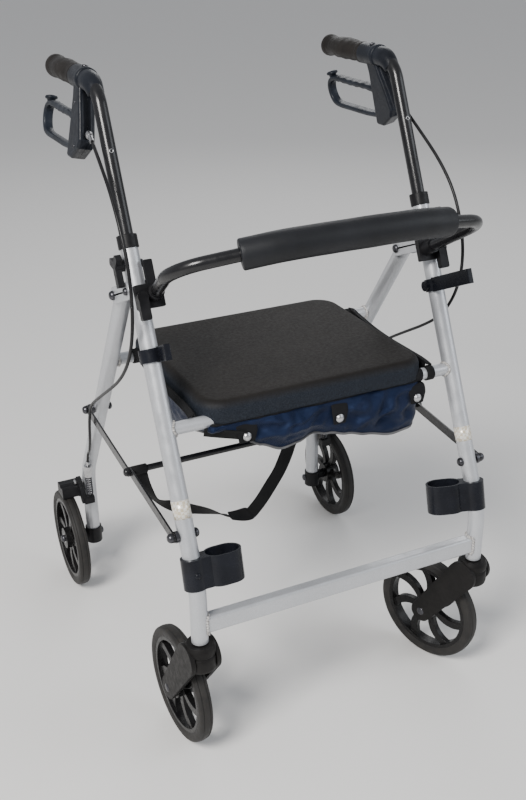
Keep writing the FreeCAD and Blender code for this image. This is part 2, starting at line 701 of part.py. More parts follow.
def rear_legs():
    for name, side in SIDES:
        path = rear_leg_path(side)
        leg = sweep(path, TUBE_R).cut(sweep(path, TUBE_R - TUBE_WALL))
        reach = X_AXIS * 30
        for (y, z), radius in (((PIVOT_Y, PIVOT_Z), FRONT_BOLT_R + RUNNING),
                               ((rear_leg_y(REAR_LINK_Z), REAR_LINK_Z), FRONT_BOLT_R),
                               ((REAR_WHEEL_Y, WHEEL_R), AXLE_R)):
            middle = V(side * LEG_X, y, z)
            leg = leg.cut(cylinder(middle - reach, middle + reach, radius))
        y, z = ARM_PIVOT
        leg = leg.cut(cylinder(V(side * LEG_X, y, z), V(side * (LEG_X + 20), y, z), 3.0))
        save("rear_leg_" + name, leg)


def rear_cross_tube():
    """Tube under the back of the seat, coped to the sloping legs."""
    half = LEG_X - TUBE_R + 3
    tube = ring(V(-half, REAR_TUBE_Y, REAR_TUBE_Z), V(half, REAR_TUBE_Y, REAR_TUBE_Z),
                SEAT_TUBE_R, SEAT_TUBE_R - TUBE_WALL)
    for _, side in SIDES:
        below, above = rear_leg_point(side, REAR_TUBE_Z - 40), rear_leg_point(side, REAR_TUBE_Z + 40)
        tube = tube.cut(cylinder(below, above, TUBE_R))
    save("rear_cross_tube", tube)


def rear_foot_caps():
    solids = []
    for _, side in SIDES:
        foot = V(side * LEG_X, REAR_FOOT_Y, REAR_LEG_BOTTOM_Z)
        sleeve = ring(foot - Z_AXIS * 3, foot + Z_AXIS * 26, 15.2, TUBE_R)
        cap = cylinder(foot - Z_AXIS * 5, foot, 15.2)
        boss = cylinder(V(side * (LEG_X + TUBE_R - 2), REAR_WHEEL_Y, WHEEL_R),
                        V(side * (REAR_WHEEL_X - HUB_HALF - 0.5), REAR_WHEEL_Y, WHEEL_R), 9.0)
        hole = cylinder(V(side * (LEG_X - 30), REAR_WHEEL_Y, WHEEL_R),
                        V(side * (LEG_X + 60), REAR_WHEEL_Y, WHEEL_R), AXLE_R)
        tube_space = cylinder(foot, foot + Z_AXIS * 60, TUBE_R)
        solids.append(fuse(sleeve, cap, boss).cut([hole, tube_space]))
    save("rear_foot_caps", *solids)


def bearing_pair(centre, axis):
    """Two ball races pressed on an axle inside a hub."""
    races = []
    for face in (-1, 1):
        outer = centre + axis * face * HUB_HALF
        inner = centre + axis * face * (HUB_HALF - 7)
        races.append(ring(inner, outer, 9.0, AXLE_R))
    return races


def rear_axles():
    solids = []
    races = []
    for _, side in SIDES:
        inner_x, outer_x = LEG_X - 15.2, REAR_WHEEL_X + HUB_HALF + 0.5
        solids.append(through_bolt(inner_x, outer_x, REAR_WHEEL_Y, WHEEL_R, AXLE_R, 7.0, 4.5, side))
        races += bearing_pair(V(side * REAR_WHEEL_X, REAR_WHEEL_Y, WHEEL_R), X_AXIS)
    save("rear_axles", *solids)
    save("rear_bearings", *races)


def rear_link_bolts():
    """Side link pivots on the rear legs with their spacers."""
    y, z = rear_leg_y(REAR_LINK_Z), REAR_LINK_Z
    solids = []
    for _, side in SIDES:
        bolt = through_bolt(LEG_X - TUBE_R, REAR_LINK_X + LINK_T + 0.4, y, z, FRONT_BOLT_R, 7.0, 6.0, side)
        spacer = cylinder(V(side * (LEG_X + TUBE_R), y, z), V(side * (REAR_LINK_X - 0.4), y, z), 8.5)
        solids.append(fuse(bolt, spacer))
    save("rear_link_bolts", *solids)


def cable_stops():
    """Tabs that end the cable's sheath above each brake, and the brake arms' pins."""
    stops = []
    for _, side in SIDES:
        top = V(side * STOP_TOP.x, STOP_TOP.y, STOP_TOP.z)
        bottom = V(side * STOP_BOTTOM.x, STOP_BOTTOM.y, STOP_BOTTOM.z)
        barrel = cylinder(bottom, top, 7.0)
        rib = yz_slab([(190, 266), (213, 262), (226, 240), (196, 246)],
                      (side * 243, side * 250))
        y, z = ARM_PIVOT
        pin = cylinder(V(side * (LEG_X + TUBE_R - TUBE_WALL), y, z), V(side * 266, y, z), 3.0)
        head = dome_cap(V(side * 264.5, y, z), V(side, 0, 0), 5.5, 3.5)
        stop = barrel.fuse(rib).cut([cylinder(bottom - (top - bottom), top, 1.4),
                                     cylinder(top - (top - bottom) * 0.4, top + (top - bottom), CABLE_R)])
        stop = stop.cut(sweep(rear_leg_path(side), TUBE_R))
        stops.append(max(stop.Solids, key=lambda solid: solid.Volume))
        stops.append(fuse(pin, head))
    save("cable_stops", *stops)


def brake_springs():
    """Return springs between the cable stops and the brake arms."""
    springs = []
    for _, side in SIDES:
        top = V(side * STOP_BOTTOM.x, STOP_BOTTOM.y, STOP_BOTTOM.z)
        low = V(side * ARM_WIRE.x, ARM_WIRE.y - 1, ARM_WIRE.z + 10)
        length = (top - low).Length - 1.5
        coil = Part.makeHelix(length / 8, length, 5.4)
        profile = Part.Wire(Part.Circle(V(5.4, 0, 0), Y_AXIS, 0.9).toShape())
        spring = Part.Wire(coil.Edges).makePipeShell([profile], True, True)
        springs.append(place_on(spring, low, top - low))
    save("brake_springs", *springs)


def brake_arms():
    """Arms that the cables pull so that their shoes press on the rear tyres."""
    y, z = ARM_PIVOT
    for name, side in SIDES:
        hub = cylinder(V(-264, y, z), V(-253.5, y, z), 8.0)
        plate = yz_slab([(y - 4, z - 8), (y + 8, z + 4), (y + 4, z + 9), (y - 8, z + 5), (203, 196),
                         (200, 184), (207, 180), (215, 184)], (-262, -254))
        toe = soft_box((-258, -240), (199, 214), (180, 195), 3.0, X_AXIS)
        shoe = soft_box((-293, -260), (226, 260), (184, 209), 4.0, X_AXIS)
        arm = hub.fuse([plate, toe, shoe])
        tyre = cylinder(V(-300, REAR_WHEEL_Y, WHEEL_R), V(-262, REAR_WHEEL_Y, WHEEL_R), WHEEL_R + SHOE_GAP)
        leg = sweep(rear_leg_path(-1), TUBE_R + 1.8)
        pin = cylinder(V(-300, y, z), V(-200, y, z), 3.0 + RUNNING)
        pin_head = cylinder(V(-300, y, z), V(-264.2, y, z), 7.0)
        wire = cylinder(V(-ARM_WIRE.x, ARM_WIRE.y, ARM_WIRE.z), V(-ARM_WIRE.x, ARM_WIRE.y - 6, 230), 1.4)
        arm = arm.cut([tyre, leg, pin, pin_head, wire])
        arm = max(arm.Solids, key=lambda solid: solid.Volume)
        save("brake_arm_" + name, arm if side < 0 else mirrored(arm))


# ---- wheels ----------------------------------------------------------------------------------------
SPOKES = 7


def tyre():
    """Solid tyre about X through the origin."""
    half = TYRE_W / 2
    profile = [(77.0, -half + 2), (84.0, -half), (89.0, -half), ((WHEEL_R, 0),), (89.0, half), (84.0, half),
               (77.0, half - 2)]
    return spun(profile, V(0, 0, 0), X_AXIS)


def rim():
    """Hub, curved spokes and rim of a wheel about X through the origin."""
    half = TYRE_W / 2 - 2
    outer = spun([(70.5, -half), (77.0, -half), (77.0, half), (70.5, half)], V(0, 0, 0), X_AXIS)
    hub = ring(V(-HUB_HALF, 0, 0), V(HUB_HALF, 0, 0), 20.0, 9.0 + RUNNING)
    spokes = []
    for index in range(SPOKES):
        face = outline([V(-5, -6.5, 17), (V(-5, -16, 45),), V(-5, -7, 72), V(-5, 9, 72), (V(-5, -3, 45),),
                        V(-5, 6.5, 17)])
        spoke = face.extrude(V(10, 0, 0))
        spoke.rotate(V(0, 0, 0), X_AXIS, index * 360 / SPOKES)
        spokes.append(spoke)
    return outer.fuse([hub] + spokes).removeSplitter()


def rear_wheels():
    for name, side in SIDES:
        centre = V(side * REAR_WHEEL_X, REAR_WHEEL_Y, WHEEL_R)
        for piece, shape in (("tyre", tyre()), ("rim", rim())):
            placed = shape.copy()
            placed.rotate(V(0, 0, 0), X_AXIS, 11)
            placed.translate(centre)
            save("rear_" + piece + "_" + name, placed)


def on_caster(shape, name, side):
    """Swing a piece modelled with its stem on the Z axis and its wheel towards +Y."""
    placed = shape.copy()
    placed.rotate(V(0, 0, 0), Z_AXIS, -CASTER_ANGLE[name])
    placed.translate(V(side * LEG_X, FRONT_Y, 0))
    return placed


FORK_GAP = 17.0            # inner faces of the fork's arms, from its middle
FORK_HALF = 23.0           # outer faces


def caster_fork():
    """Stem, ringed crown and two broad arms with round ends."""
    arm = outline([V(-FORK_HALF, -17, 214), V(-FORK_HALF, -13, 190), V(-FORK_HALF, 64.7, 84.2),
                   (V(-FORK_HALF, 86.8, 79.7),), V(-FORK_HALF, 91.3, 101.8), V(-FORK_HALF, 28, 197),
                   V(-FORK_HALF, 18, 214)])
    slab = arm.extrude(V(2 * FORK_HALF, 0, 0))
    slab = round_sides(slab, FORK_HALF, 5.0)
    tyre_room = cylinder(V(-FORK_GAP, TRAIL, WHEEL_R), V(FORK_GAP, TRAIL, WHEEL_R), WHEEL_R + 9)
    lower_room = box((-FORK_GAP, FORK_GAP), (-60, 150), (0, 186))
    crown = spun([(0, 184), (17.5, 184), (21, 190), (21, 213), (19.4, 214.5), (19.4, 216.5), (20.6, 218),
                  (20.6, 224.5), (19.2, 226), (0, 226)], V(0, 0, 0), Z_AXIS)
    stem = Part.makeCylinder(STEM_R, 70.0, V(0, 0, 210))
    axle = cylinder(V(-60, TRAIL, WHEEL_R), V(60, TRAIL, WHEEL_R), AXLE_R)
    fork = slab.cut([tyre_room, lower_room]).fuse([crown, stem]).cut([axle, tyre_room])
    return fork.removeSplitter()


def casters():
    centre = V(0, TRAIL, WHEEL_R)
    for name, side in SIDES:
        save("caster_fork_" + name, on_caster(caster_fork(), name, side))
        shank = cylinder(V(-FORK_HALF, TRAIL, WHEEL_R), V(FORK_HALF, TRAIL, WHEEL_R), AXLE_R)
        head = dome_cap(V(-FORK_HALF, TRAIL, WHEEL_R), V(-1, 0, 0), 7.0, 3.0)
        nut = dome_cap(V(FORK_HALF, TRAIL, WHEEL_R), V(1, 0, 0), 7.0, 3.5)
        spacers = [ring(V(face * 14.5, TRAIL, WHEEL_R), V(face * 17, TRAIL, WHEEL_R), 6.5, AXLE_R)
                   for face in (-1, 1)]
        axle = fuse(shank, head, nut)
        save("caster_axle_" + name, on_caster(axle, name, side))
        races = [on_caster(race, name, side) for race in bearing_pair(centre, X_AXIS) + spacers]
        save("caster_bearings_" + name, *races)
        for piece, shape in (("tyre", tyre()), ("rim", rim())):
            placed = shape.copy()
            placed.rotate(V(0, 0, 0), X_AXIS, -8)
            placed.translate(centre)
            save("front_" + piece + "_" + name, on_caster(placed, name, side))


# ---- folding links ---------------------------------------------------------------------------------
def links():
    """Side links in two halves, the rod between them and the loop of webbing that hangs from it."""
    front = (front_leg_y(FRONT_LINK_Z), FRONT_LINK_Z)
    rear = (rear_leg_y(REAR_LINK_Z), REAR_LINK_Z)
    middle = (ROD_Y, ROD_Z)
    fronts = []
    rears = []
    for _, side in SIDES:
        x = side * FRONT_LINK_X
        plate = strap_plate(front, middle, LINK_HALF_W, (x, x + side * LINK_T))
        plate = plate.cut(cylinder(V(x - 9, *front), V(x + 9, *front), FRONT_BOLT_R + RUNNING))
        fronts.append(plate.cut(cylinder(V(x - 9, *middle), V(x + 9, *middle), 3.5)))
        x = side * REAR_LINK_X
        plate = strap_plate(middle, rear, LINK_HALF_W, (x, x + side * LINK_T))
        plate = plate.cut(cylinder(V(x - 9, *rear), V(x + 9, *rear), FRONT_BOLT_R + RUNNING))
        cap = dome_cap(V(x + side * LINK_T, *middle), V(side, 0, 0), 6.5, 6.0)
        rears.append(fuse(plate, cap))
    save("front_links", *fronts)
    save("rear_links", *rears)
    shoulder = FRONT_LINK_X - 0.05
    rod = cylinder(V(-shoulder, *middle), V(shoulder, *middle), 5.0)
    ends = cylinder(V(-FRONT_LINK_X - LINK_T, *middle), V(FRONT_LINK_X + LINK_T, *middle), 3.5)
    save("folding_rod", fuse(rod, ends))


STRAP_T = 2.0
STRAP_HALF_W = 12.0


def fold_strap():
    """Webbing pull loop, modelled as the flat band it hangs as."""
    route = [(-241, 404), (-236, 378), (-223, 348), (-198, 322), (-166, 312), (-130, 298), (-100, 284),
             (-72, 274), (-50, 290), (-22, 332), (8, 374), (24, 404)]
    y = ROD_Y
    low_y = y - STRAP_T / 2
    pieces = []
    for (x0, z0), (x1, z1) in zip(route, route[1:]):
        run = V(x1 - x0, 0, z1 - z0)
        side = V(-run.z, 0, run.x).normalize() * STRAP_HALF_W
        a, b = V(x0, low_y, z0), V(x1, low_y, z1)
        pieces.append(outline([a + side, a - side, b - side, b + side]).extrude(V(0, STRAP_T, 0)))
        pieces.append(Part.makeCylinder(STRAP_HALF_W, STRAP_T, b, Y_AXIS))
    for x in (-241, 24):
        pieces.append(cylinder(V(x - STRAP_HALF_W, y, ROD_Z), V(x + STRAP_HALF_W, y, ROD_Z), 7.4))
    band = pieces[0].fuse(pieces[1:])
    band = band.cut(cylinder(V(-260, y, ROD_Z), V(60, y, ROD_Z), 5.2)).removeSplitter()
    save("fold_strap", band)


# ---- brake cables ----------------------------------------------------------------------------------
CABLE_ROUTES = {
    "left": [(258, -78, 868), (261, -118, 845), (263, -152, 812), (263, -178, 772), (263, -188, 726),
             (263, -186, 680), (263, -170, 634), (263, -140, 592), (264, -96, 553), (266, -44, 518),
             (267, 10, 483), (268, 56, 452), (268, 72, 424), (267, 84, 394), (264, 100, 362), (260, 124, 334),
             (254, 152, 316)],
    "right": [(260, -78, 858), (264, -122, 826), (266, -158, 790), (266, -182, 748), (266, -194, 704),
              (266, -192, 660), (266, -174, 616), (266, -142, 578), (266, -98, 548), (266, -46, 518),
              (267, 8, 486), (268, 56, 454), (268, 72, 424), (267, 84, 394), (264, 100, 362), (260, 124, 334),
              (254, 152, 316)],
}


def brake_cables():
    """Sheathed cables held whole along their route, with the bare wire that pulls the brake arm."""
    for name, side in SIDES:
        start = rolled(Part.Vertex(CABLE_START), side).Point
        middle = [V(side * x, y, z) for x, y, z in CABLE_ROUTES[name]]
        top = V(side * STOP_TOP.x, STOP_TOP.y, STOP_TOP.z)
        bottom = V(side * STOP_BOTTOM.x, STOP_BOTTOM.y, STOP_BOTTOM.z)
        end = top + (bottom - top) * 0.35
        lead = top + (top - bottom).normalize() * 29
        points = [start] + middle + [lead, end]
        radii = cord_radii(points)
        path = rounded_path(points, radii)
        sheath = sweep(path, CABLE_R)
        expected = math.pi * CABLE_R ** 2 * path.Length
        print(name, "cable", round(path.Length), "mm, tightest bend", round(min(radii), 1),
              "mm, volume ratio", round(sheath.Volume / expected, 4))
        target = V(side * ARM_WIRE.x, ARM_WIRE.y, ARM_WIRE.z + 8)
        joint = bottom + (bottom - top).normalize() * 1.0
        wire = cylinder(end - (bottom - top).normalize() * 1.0, joint, 1.0)
        tail = cylinder(joint, target, 1.0)
        ball = Part.makeSphere(1.0, joint)
        save("brake_cable_" + name, sheath.fuse([wire, tail, ball]))


def main():
    os.makedirs("parts", exist_ok=True)
    front_legs()
    front_crossbar()
    seat_front_tube()
    leg_bushes()
    pivot_plates()
    frame_bolts()
    cane_holders()
    backrest()
    handles()
    height_knobs()
    seat()
    bag()
    rear_legs()
    rear_cross_tube()
    rear_foot_caps()
    rear_axles()
    rear_link_bolts()
    cable_stops()
    brake_springs()
    brake_arms()
    rear_wheels()
    casters()
    links()
    fold_strap()
    brake_cables()
    print(len(os.listdir("parts")), "nodes")


main()
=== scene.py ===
import json
import math
import bmesh
import bpy
from mathutils import Matrix, Vector, noise


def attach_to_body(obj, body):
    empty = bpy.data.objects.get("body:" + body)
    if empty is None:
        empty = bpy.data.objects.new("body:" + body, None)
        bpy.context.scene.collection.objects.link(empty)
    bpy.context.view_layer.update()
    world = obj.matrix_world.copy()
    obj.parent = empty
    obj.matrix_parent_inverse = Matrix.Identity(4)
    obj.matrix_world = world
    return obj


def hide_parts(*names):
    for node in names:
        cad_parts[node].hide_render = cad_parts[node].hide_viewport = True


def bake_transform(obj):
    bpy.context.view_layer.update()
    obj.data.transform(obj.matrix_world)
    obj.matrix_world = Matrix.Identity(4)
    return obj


# Rollator walker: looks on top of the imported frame.  Metres, +Z up, the front is -Y, "left" is -X.

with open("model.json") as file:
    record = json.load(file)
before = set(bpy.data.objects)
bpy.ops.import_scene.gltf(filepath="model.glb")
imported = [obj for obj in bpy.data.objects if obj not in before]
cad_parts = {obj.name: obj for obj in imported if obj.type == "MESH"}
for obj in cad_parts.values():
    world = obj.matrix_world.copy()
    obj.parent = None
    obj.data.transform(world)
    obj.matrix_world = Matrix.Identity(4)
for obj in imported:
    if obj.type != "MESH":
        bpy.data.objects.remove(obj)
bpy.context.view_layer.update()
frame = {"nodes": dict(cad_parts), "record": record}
NODES = frame["nodes"]
SCENE = bpy.context.scene
SIDES = (("left", -1), ("right", 1))

# ---- sizes repeated from the CAD model, in millimetres -----------------------------------------------
MIDDLE = 2.76              # from the drawing's origin to the middle of the overall length
LEG_X = 238.0
LEAN = math.radians(24.7)
GRIP_Z = 966.0
HOUSING_ROLL = math.radians(12.0)
WHEEL_R = 93.0
TRAIL = 78.0
CASTER_ANGLE = {"left": math.radians(-4.0), "right": math.radians(-21.0)}
REAR_WHEEL = (281.0, 242.5, 93.0)
ROD = (-101.0, 404.0)
SEAT_TUBE_Z = 525.0        # front tube under the seat
REAR_TUBE = (25.2, 536.5)  # rear tube that carries the seat's hinge clips
CROSS_TUBE_R = 10.2        # both cross tubes, at their weld beads
FRONT_Y = -316.0           # crossbar, upright feet of the front legs and caster stems
CROSSBAR_Z = 256.5
FRONT_CORNER_Z = 318.0     # where the front legs turn from upright to leaning
LEG_R = 12.7               # outside of the leg tubes
SEAT_TOP = 556.0           # top of the seat tray
BOW_ROOT = (-158.0, 703.0)  # where the backrest bow leaves its saddles
BOW_RISE = math.radians(31.0)
LEG_DIR = Vector((0, math.sin(LEAN), math.cos(LEAN)))
LEG_FRONT = Vector((0, -math.cos(LEAN), math.sin(LEAN)))


def at(x, y, z):
    """A place on the walker, in the drawing's millimetres."""
    return Vector((x, y + MIDDLE, z)) / 1000


def front_leg_y(z):
    return FRONT_Y + (z - FRONT_CORNER_Z) * math.tan(LEAN)


# ---- camera, floor and light -------------------------------------------------------------------------
def make_camera():
    camera = bpy.data.objects.new("camera", bpy.data.cameras.new("camera"))
    SCENE.collection.objects.link(camera)
    yaw, pitch, roll = math.radians(25.02), math.radians(25.66), math.radians(-0.88)
    look = Vector((math.sin(yaw) * math.cos(pitch), math.cos(yaw) * math.cos(pitch), -math.sin(pitch)))
    level = Vector((math.cos(yaw), -math.sin(yaw), 0))
    up = level.cross(look)
    right = level * math.cos(roll) + up * math.sin(roll)
    up = up * math.cos(roll) - level * math.sin(roll)
    turn = Matrix((right, up, -look)).transposed().to_4x4()
    camera.matrix_world = Matrix.Translation(at(-660.3, -1448.1, 1190.2)) @ turn
    camera.data.sensor_width = 36.0
    camera.data.sensor_fit = "AUTO"
    camera.data.lens = 46.86
    camera.data.clip_start = 0.05
    camera.data.clip_end = 50
    SCENE.camera = camera


def area_light(name, place, target, size, power, colour):
    light = bpy.data.lights.new(name, "AREA")
    light.shape = "RECTANGLE"
    light.size, light.size_y = size
    light.energy = power
    light.color = colour
    lamp = bpy.data.objects.new(name, light)
    SCENE.collection.objects.link(lamp)
    lamp.location = place
    lamp.rotation_euler = (Vector(target) - Vector(place)).to_track_quat("-Z", "Y").to_euler()


def make_studio():
    floor_mesh = bpy.data.meshes.new("floor")
    half = 30.0
    floor_mesh.from_pydata([(-half, -half, 0), (half, -half, 0), (half, half, 0), (-half, half, 0)], [],
                           [(0, 1, 2, 3)])
    floor = bpy.data.objects.new("floor", floor_mesh)
    SCENE.collection.objects.link(floor)
    paint = bpy.data.materials.new("floor_paint")
    paint.use_nodes = True
    shader = paint.node_tree.nodes["Principled BSDF"]
    shader.inputs["Base Color"].default_value = (0.80, 0.79, 0.775, 1)
    shader.inputs["Roughness"].default_value = 0.75
    floor.data.materials.append(paint)
    world = bpy.data.worlds.new("studio")
    world.use_nodes = True
    background = world.node_tree.nodes["Background"]
    background.inputs["Color"].default_value = (0.86, 0.88, 0.92, 1)
    background.inputs["Strength"].default_value = 0.52
    SCENE.world = world
    area_light("key", (-2.2, -1.6, 2.9), (0, 0, 0.5), (1.2, 1.2), 165, (1.0, 0.98, 0.95))
    area_light("fill", (2.6, -1.9, 2.0), (0, 0, 0.5), (2.0, 2.0), 34, (0.90, 0.95, 1.0))
    area_light("rim", (1.6, 2.6, 2.2), (0, 0, 0.6), (1.6, 1.2), 14, (1.0, 1.0, 1.0))


make_camera()
make_studio()


# ---- materials ---------------------------------------------------------------------------------------
class Paint:
    """Node graph of one material, built around a Principled shader."""

    def __init__(self, name, roughness, metallic=0.0, **sockets):
        self.material = bpy.data.materials.new(name)
        self.material.use_nodes = True
        self.tree = self.material.node_tree
        self.shader = self.tree.nodes["Principled BSDF"]
        self.shader.inputs["Roughness"].default_value = roughness
        self.shader.inputs["Metallic"].default_value = metallic
        for socket, value in sockets.items():
            self.shader.inputs[socket.replace("_", " ")].default_value = value
        self.place = self.add("ShaderNodeTexCoord").outputs["Object"]
        self.height = None

    def add(self, kind, **inputs):
        node = self.tree.nodes.new(kind)
        for name, value in inputs.items():
            self.feed(node.inputs[name.replace("_", " ")], value)
        return node

    def feed(self, socket, value):
        if isinstance(value, bpy.types.NodeSocket):
            self.tree.links.new(value, socket)
        else:
            socket.default_value = value

    def noise(self, scale, detail=4.0, stretch=None, roughness=0.55):
        place = self.place
        if stretch:
            mapping = self.add("ShaderNodeMapping", Vector=place)
            mapping.inputs["Scale"].default_value = stretch
            place = mapping.outputs["Vector"]
        node = self.add("ShaderNodeTexNoise", Vector=place, Scale=scale, Detail=detail, Roughness=roughness)
        return node.outputs["Fac"]

    def cells(self, scale, feature="F1"):
        node = self.add("ShaderNodeTexVoronoi", Vector=self.place, Scale=scale)
        node.feature = feature
        return node.outputs["Distance"]

    def ramp(self, value, *stops):
        node = self.add("ShaderNodeValToRGB", Fac=value)
        ramp = node.color_ramp
        while len(ramp.elements) < len(stops):
            ramp.elements.new(0.5)
        for element, (position, colour) in zip(ramp.elements, stops):
            element.position = position
            element.color = (*colour, 1) if len(colour) == 3 else colour
        return node.outputs["Color"]

    def scale_to(self, value, low, high, start=0.0, end=1.0):
        node = self.add("ShaderNodeMapRange", Value=value)
        node.inputs["From Min"].default_value = start
        node.inputs["From Max"].default_value = end
        node.inputs["To Min"].default_value = low
        node.inputs["To Max"].default_value = high
        return node.outputs["Result"]

    def math(self, operation, first, second=0.0):
        node = self.tree.nodes.new("ShaderNodeMath")
        node.operation = operation
        self.feed(node.inputs[0], first)
        self.feed(node.inputs[1], second)
        return node.outputs[0]

    def mix(self, factor, first, second):
        node = self.tree.nodes.new("ShaderNodeMix")
        node.data_type = "RGBA"
        self.feed(node.inputs["Factor"], factor)
        self.feed(node.inputs["A"], first if isinstance(first, bpy.types.NodeSocket) else (*first, 1))
        self.feed(node.inputs["B"], second if isinstance(second, bpy.types.NodeSocket) else (*second, 1))
        return node.outputs["Result"]

    def colour(self, value):
        self.feed(self.shader.inputs["Base Color"], value)

    def rough(self, value):
        self.feed(self.shader.inputs["Roughness"], value)

    def bump(self, height, depth, strength=1.0):
        """Relief of the given depth, in millimetres."""
        node = self.add("ShaderNodeBump", Height=height, Strength=strength, Distance=depth / 1000)
        if self.height:
            self.tree.links.new(self.height, node.inputs["Normal"])
        self.height = node.outputs["Normal"]
        self.feed(self.shader.inputs["Normal"], self.height)


def frame_paint():
    paint = Paint("silver_frame_paint", 0.34, 0.55, Coat_Weight=0.35, Coat_Roughness=0.15)
    tone = paint.ramp(paint.noise(9.0, 5.0), (0.25, (0.47, 0.48, 0.50)), (0.75, (0.56, 0.575, 0.60)))
    flake = paint.ramp(paint.noise(900.0, 2.0), (0.35, (0.42, 0.43, 0.45)), (0.65, (0.64, 0.65, 0.68)))
    body = paint.mix(0.35, tone, flake)
    scuffs = paint.ramp(paint.noise(38.0, 9.0, (1.0, 1.0, 0.35), 0.72), (0.66, (0, 0, 0)), (0.72, (1, 1, 1)))
    marked = paint.mix(paint.math("MULTIPLY", scuffs, 0.55), body, (0.27, 0.24, 0.22))
    paint.colour(marked)
    paint.rough(paint.scale_to(paint.noise(60.0, 6.0), 0.28, 0.50, 0.3, 0.7))
    paint.bump(paint.noise(520.0, 3.0), 0.06, 0.5)
    return paint.material


def weld_paint():
    paint = Paint("painted_weld_bead", 0.48, 0.35)
    tone = paint.ramp(paint.noise(260.0, 6.0), (0.35, (0.30, 0.28, 0.26)), (0.62, (0.60, 0.59, 0.58)))
    paint.colour(tone)
    paint.bump(paint.noise(420.0, 6.0), 0.5, 0.9)
    return paint.material


def black_gloss():
    paint = Paint("black_gloss_tube", 0.24, Specular_IOR_Level=0.30, Coat_Weight=0.30, Coat_Roughness=0.12)
    low, high = (0.005, 0.005, 0.006), (0.010, 0.010, 0.0115)
    paint.colour(paint.ramp(paint.noise(30.0, 5.0), (0.3, low), (0.7, high)))
    paint.rough(paint.scale_to(paint.noise(110.0, 7.0), 0.22, 0.38, 0.35, 0.7))
    paint.bump(paint.noise(700.0, 2.0), 0.03, 0.4)
    return paint.material


def zinc(name="zinc_plated_steel", tone=(0.60, 0.60, 0.61)):
    paint = Paint(name, 0.30, 1.0)
    dark = tuple(value * 0.72 for value in tone)
    paint.colour(paint.ramp(paint.noise(120.0, 6.0), (0.3, dark), (0.7, tone)))
    paint.rough(paint.scale_to(paint.noise(420.0, 4.0), 0.22, 0.44, 0.3, 0.7))
    paint.bump(paint.noise(900.0, 3.0), 0.05, 0.5)
    return paint.material


def moulded_black(name, low, high, roughness=0.42, grain=0.08, grain_scale=1400.0):
    """Moulded plastic or rubber with a fine spark-eroded grain and dusty hollows."""
    paint = Paint(name, roughness, Specular_IOR_Level=0.19)
    tone = paint.ramp(paint.noise(26.0, 6.0), (0.3, low), (0.72, high))
    dust = paint.ramp(paint.noise(70.0, 8.0, None, 0.7), (0.56, (0, 0, 0)), (0.80, (1, 1, 1)))
    paint.colour(paint.mix(paint.math("MULTIPLY", dust, 0.07), tone, (0.085, 0.075, 0.066)))
    paint.rough(paint.scale_to(paint.noise(150.0, 5.0), roughness - 0.07, roughness + 0.12, 0.3, 0.7))
    paint.bump(paint.cells(grain_scale), grain, 0.6)
    return paint.material


def seat_plastic():
    paint = Paint("grained_seat_plastic", 0.56, Specular_IOR_Level=0.14)
    # Painted reflection: faces that turn up take a dark warm tone, and the sides and the lip take a lighter
    # bluish tone. This stands in for the room reflected in the plastic, not for a colour of the plastic.
    level = paint.tree.nodes.new("ShaderNodeSeparateXYZ")
    paint.tree.links.new(paint.add("ShaderNodeNewGeometry").outputs["Normal"], level.inputs[0])
    up_facing_reflection_mask = paint.scale_to(level.outputs["Z"], 0.0, 1.0, 0.25, 0.95)
    # Colours of the two painted reflections: dark warm for the top, lighter bluish for the sides and the lip.
    warm_top_reflection_low, warm_top_reflection_high = (0.0100, 0.0088, 0.0080), (0.0150, 0.0132, 0.0120)
    blue_side_reflection_low, blue_side_reflection_high = (0.007, 0.009, 0.013), (0.022, 0.027, 0.037)
    warm_top_reflection = paint.ramp(paint.noise(14.0, 5.0), (0.3, warm_top_reflection_low), (0.7, warm_top_reflection_high))
    # grain carries the lighter bluish painted reflection of the sides and the lip, mottled by a fine noise.
    grain = paint.ramp(paint.noise(520.0, 3.0, None, 0.7), (0.35, blue_side_reflection_low), (0.70, blue_side_reflection_high))
    # tone blends the two painted reflections by how far each face turns up.
    tone = paint.mix(up_facing_reflection_mask, grain, warm_top_reflection)
    dust = paint.ramp(paint.noise(45.0, 9.0, None, 0.72), (0.52, (0, 0, 0)), (0.82, (1, 1, 1)))
    paint.colour(paint.mix(paint.math("MULTIPLY", dust, 0.05), tone, (0.10, 0.088, 0.078)))
    paint.rough(paint.scale_to(paint.noise(210.0, 5.0), 0.50, 0.64, 0.3, 0.7))
    leather = paint.scale_to(paint.cells(620.0, "DISTANCE_TO_EDGE"), 0.0, 1.0, 0.0, 0.28)
    paint.bump(leather, 0.10, 0.6)
    paint.bump(paint.noise(1200.0, 3.0), 0.05, 0.5)
    return paint.material


def foam():
    paint = Paint("closed_cell_foam", 0.46, Specular_IOR_Level=0.26)
    low, high = (0.0085, 0.009, 0.0105), (0.014, 0.015, 0.018)
    paint.colour(paint.ramp(paint.noise(20.0, 6.0), (0.3, low), (0.7, high)))
    paint.rough(paint.scale_to(paint.noise(240.0, 6.0), 0.42, 0.54, 0.3, 0.7))
    paint.bump(paint.cells(620.0), 0.16, 0.6)
    paint.bump(paint.noise(55.0, 4.0), 0.30, 0.35)
    return paint.material


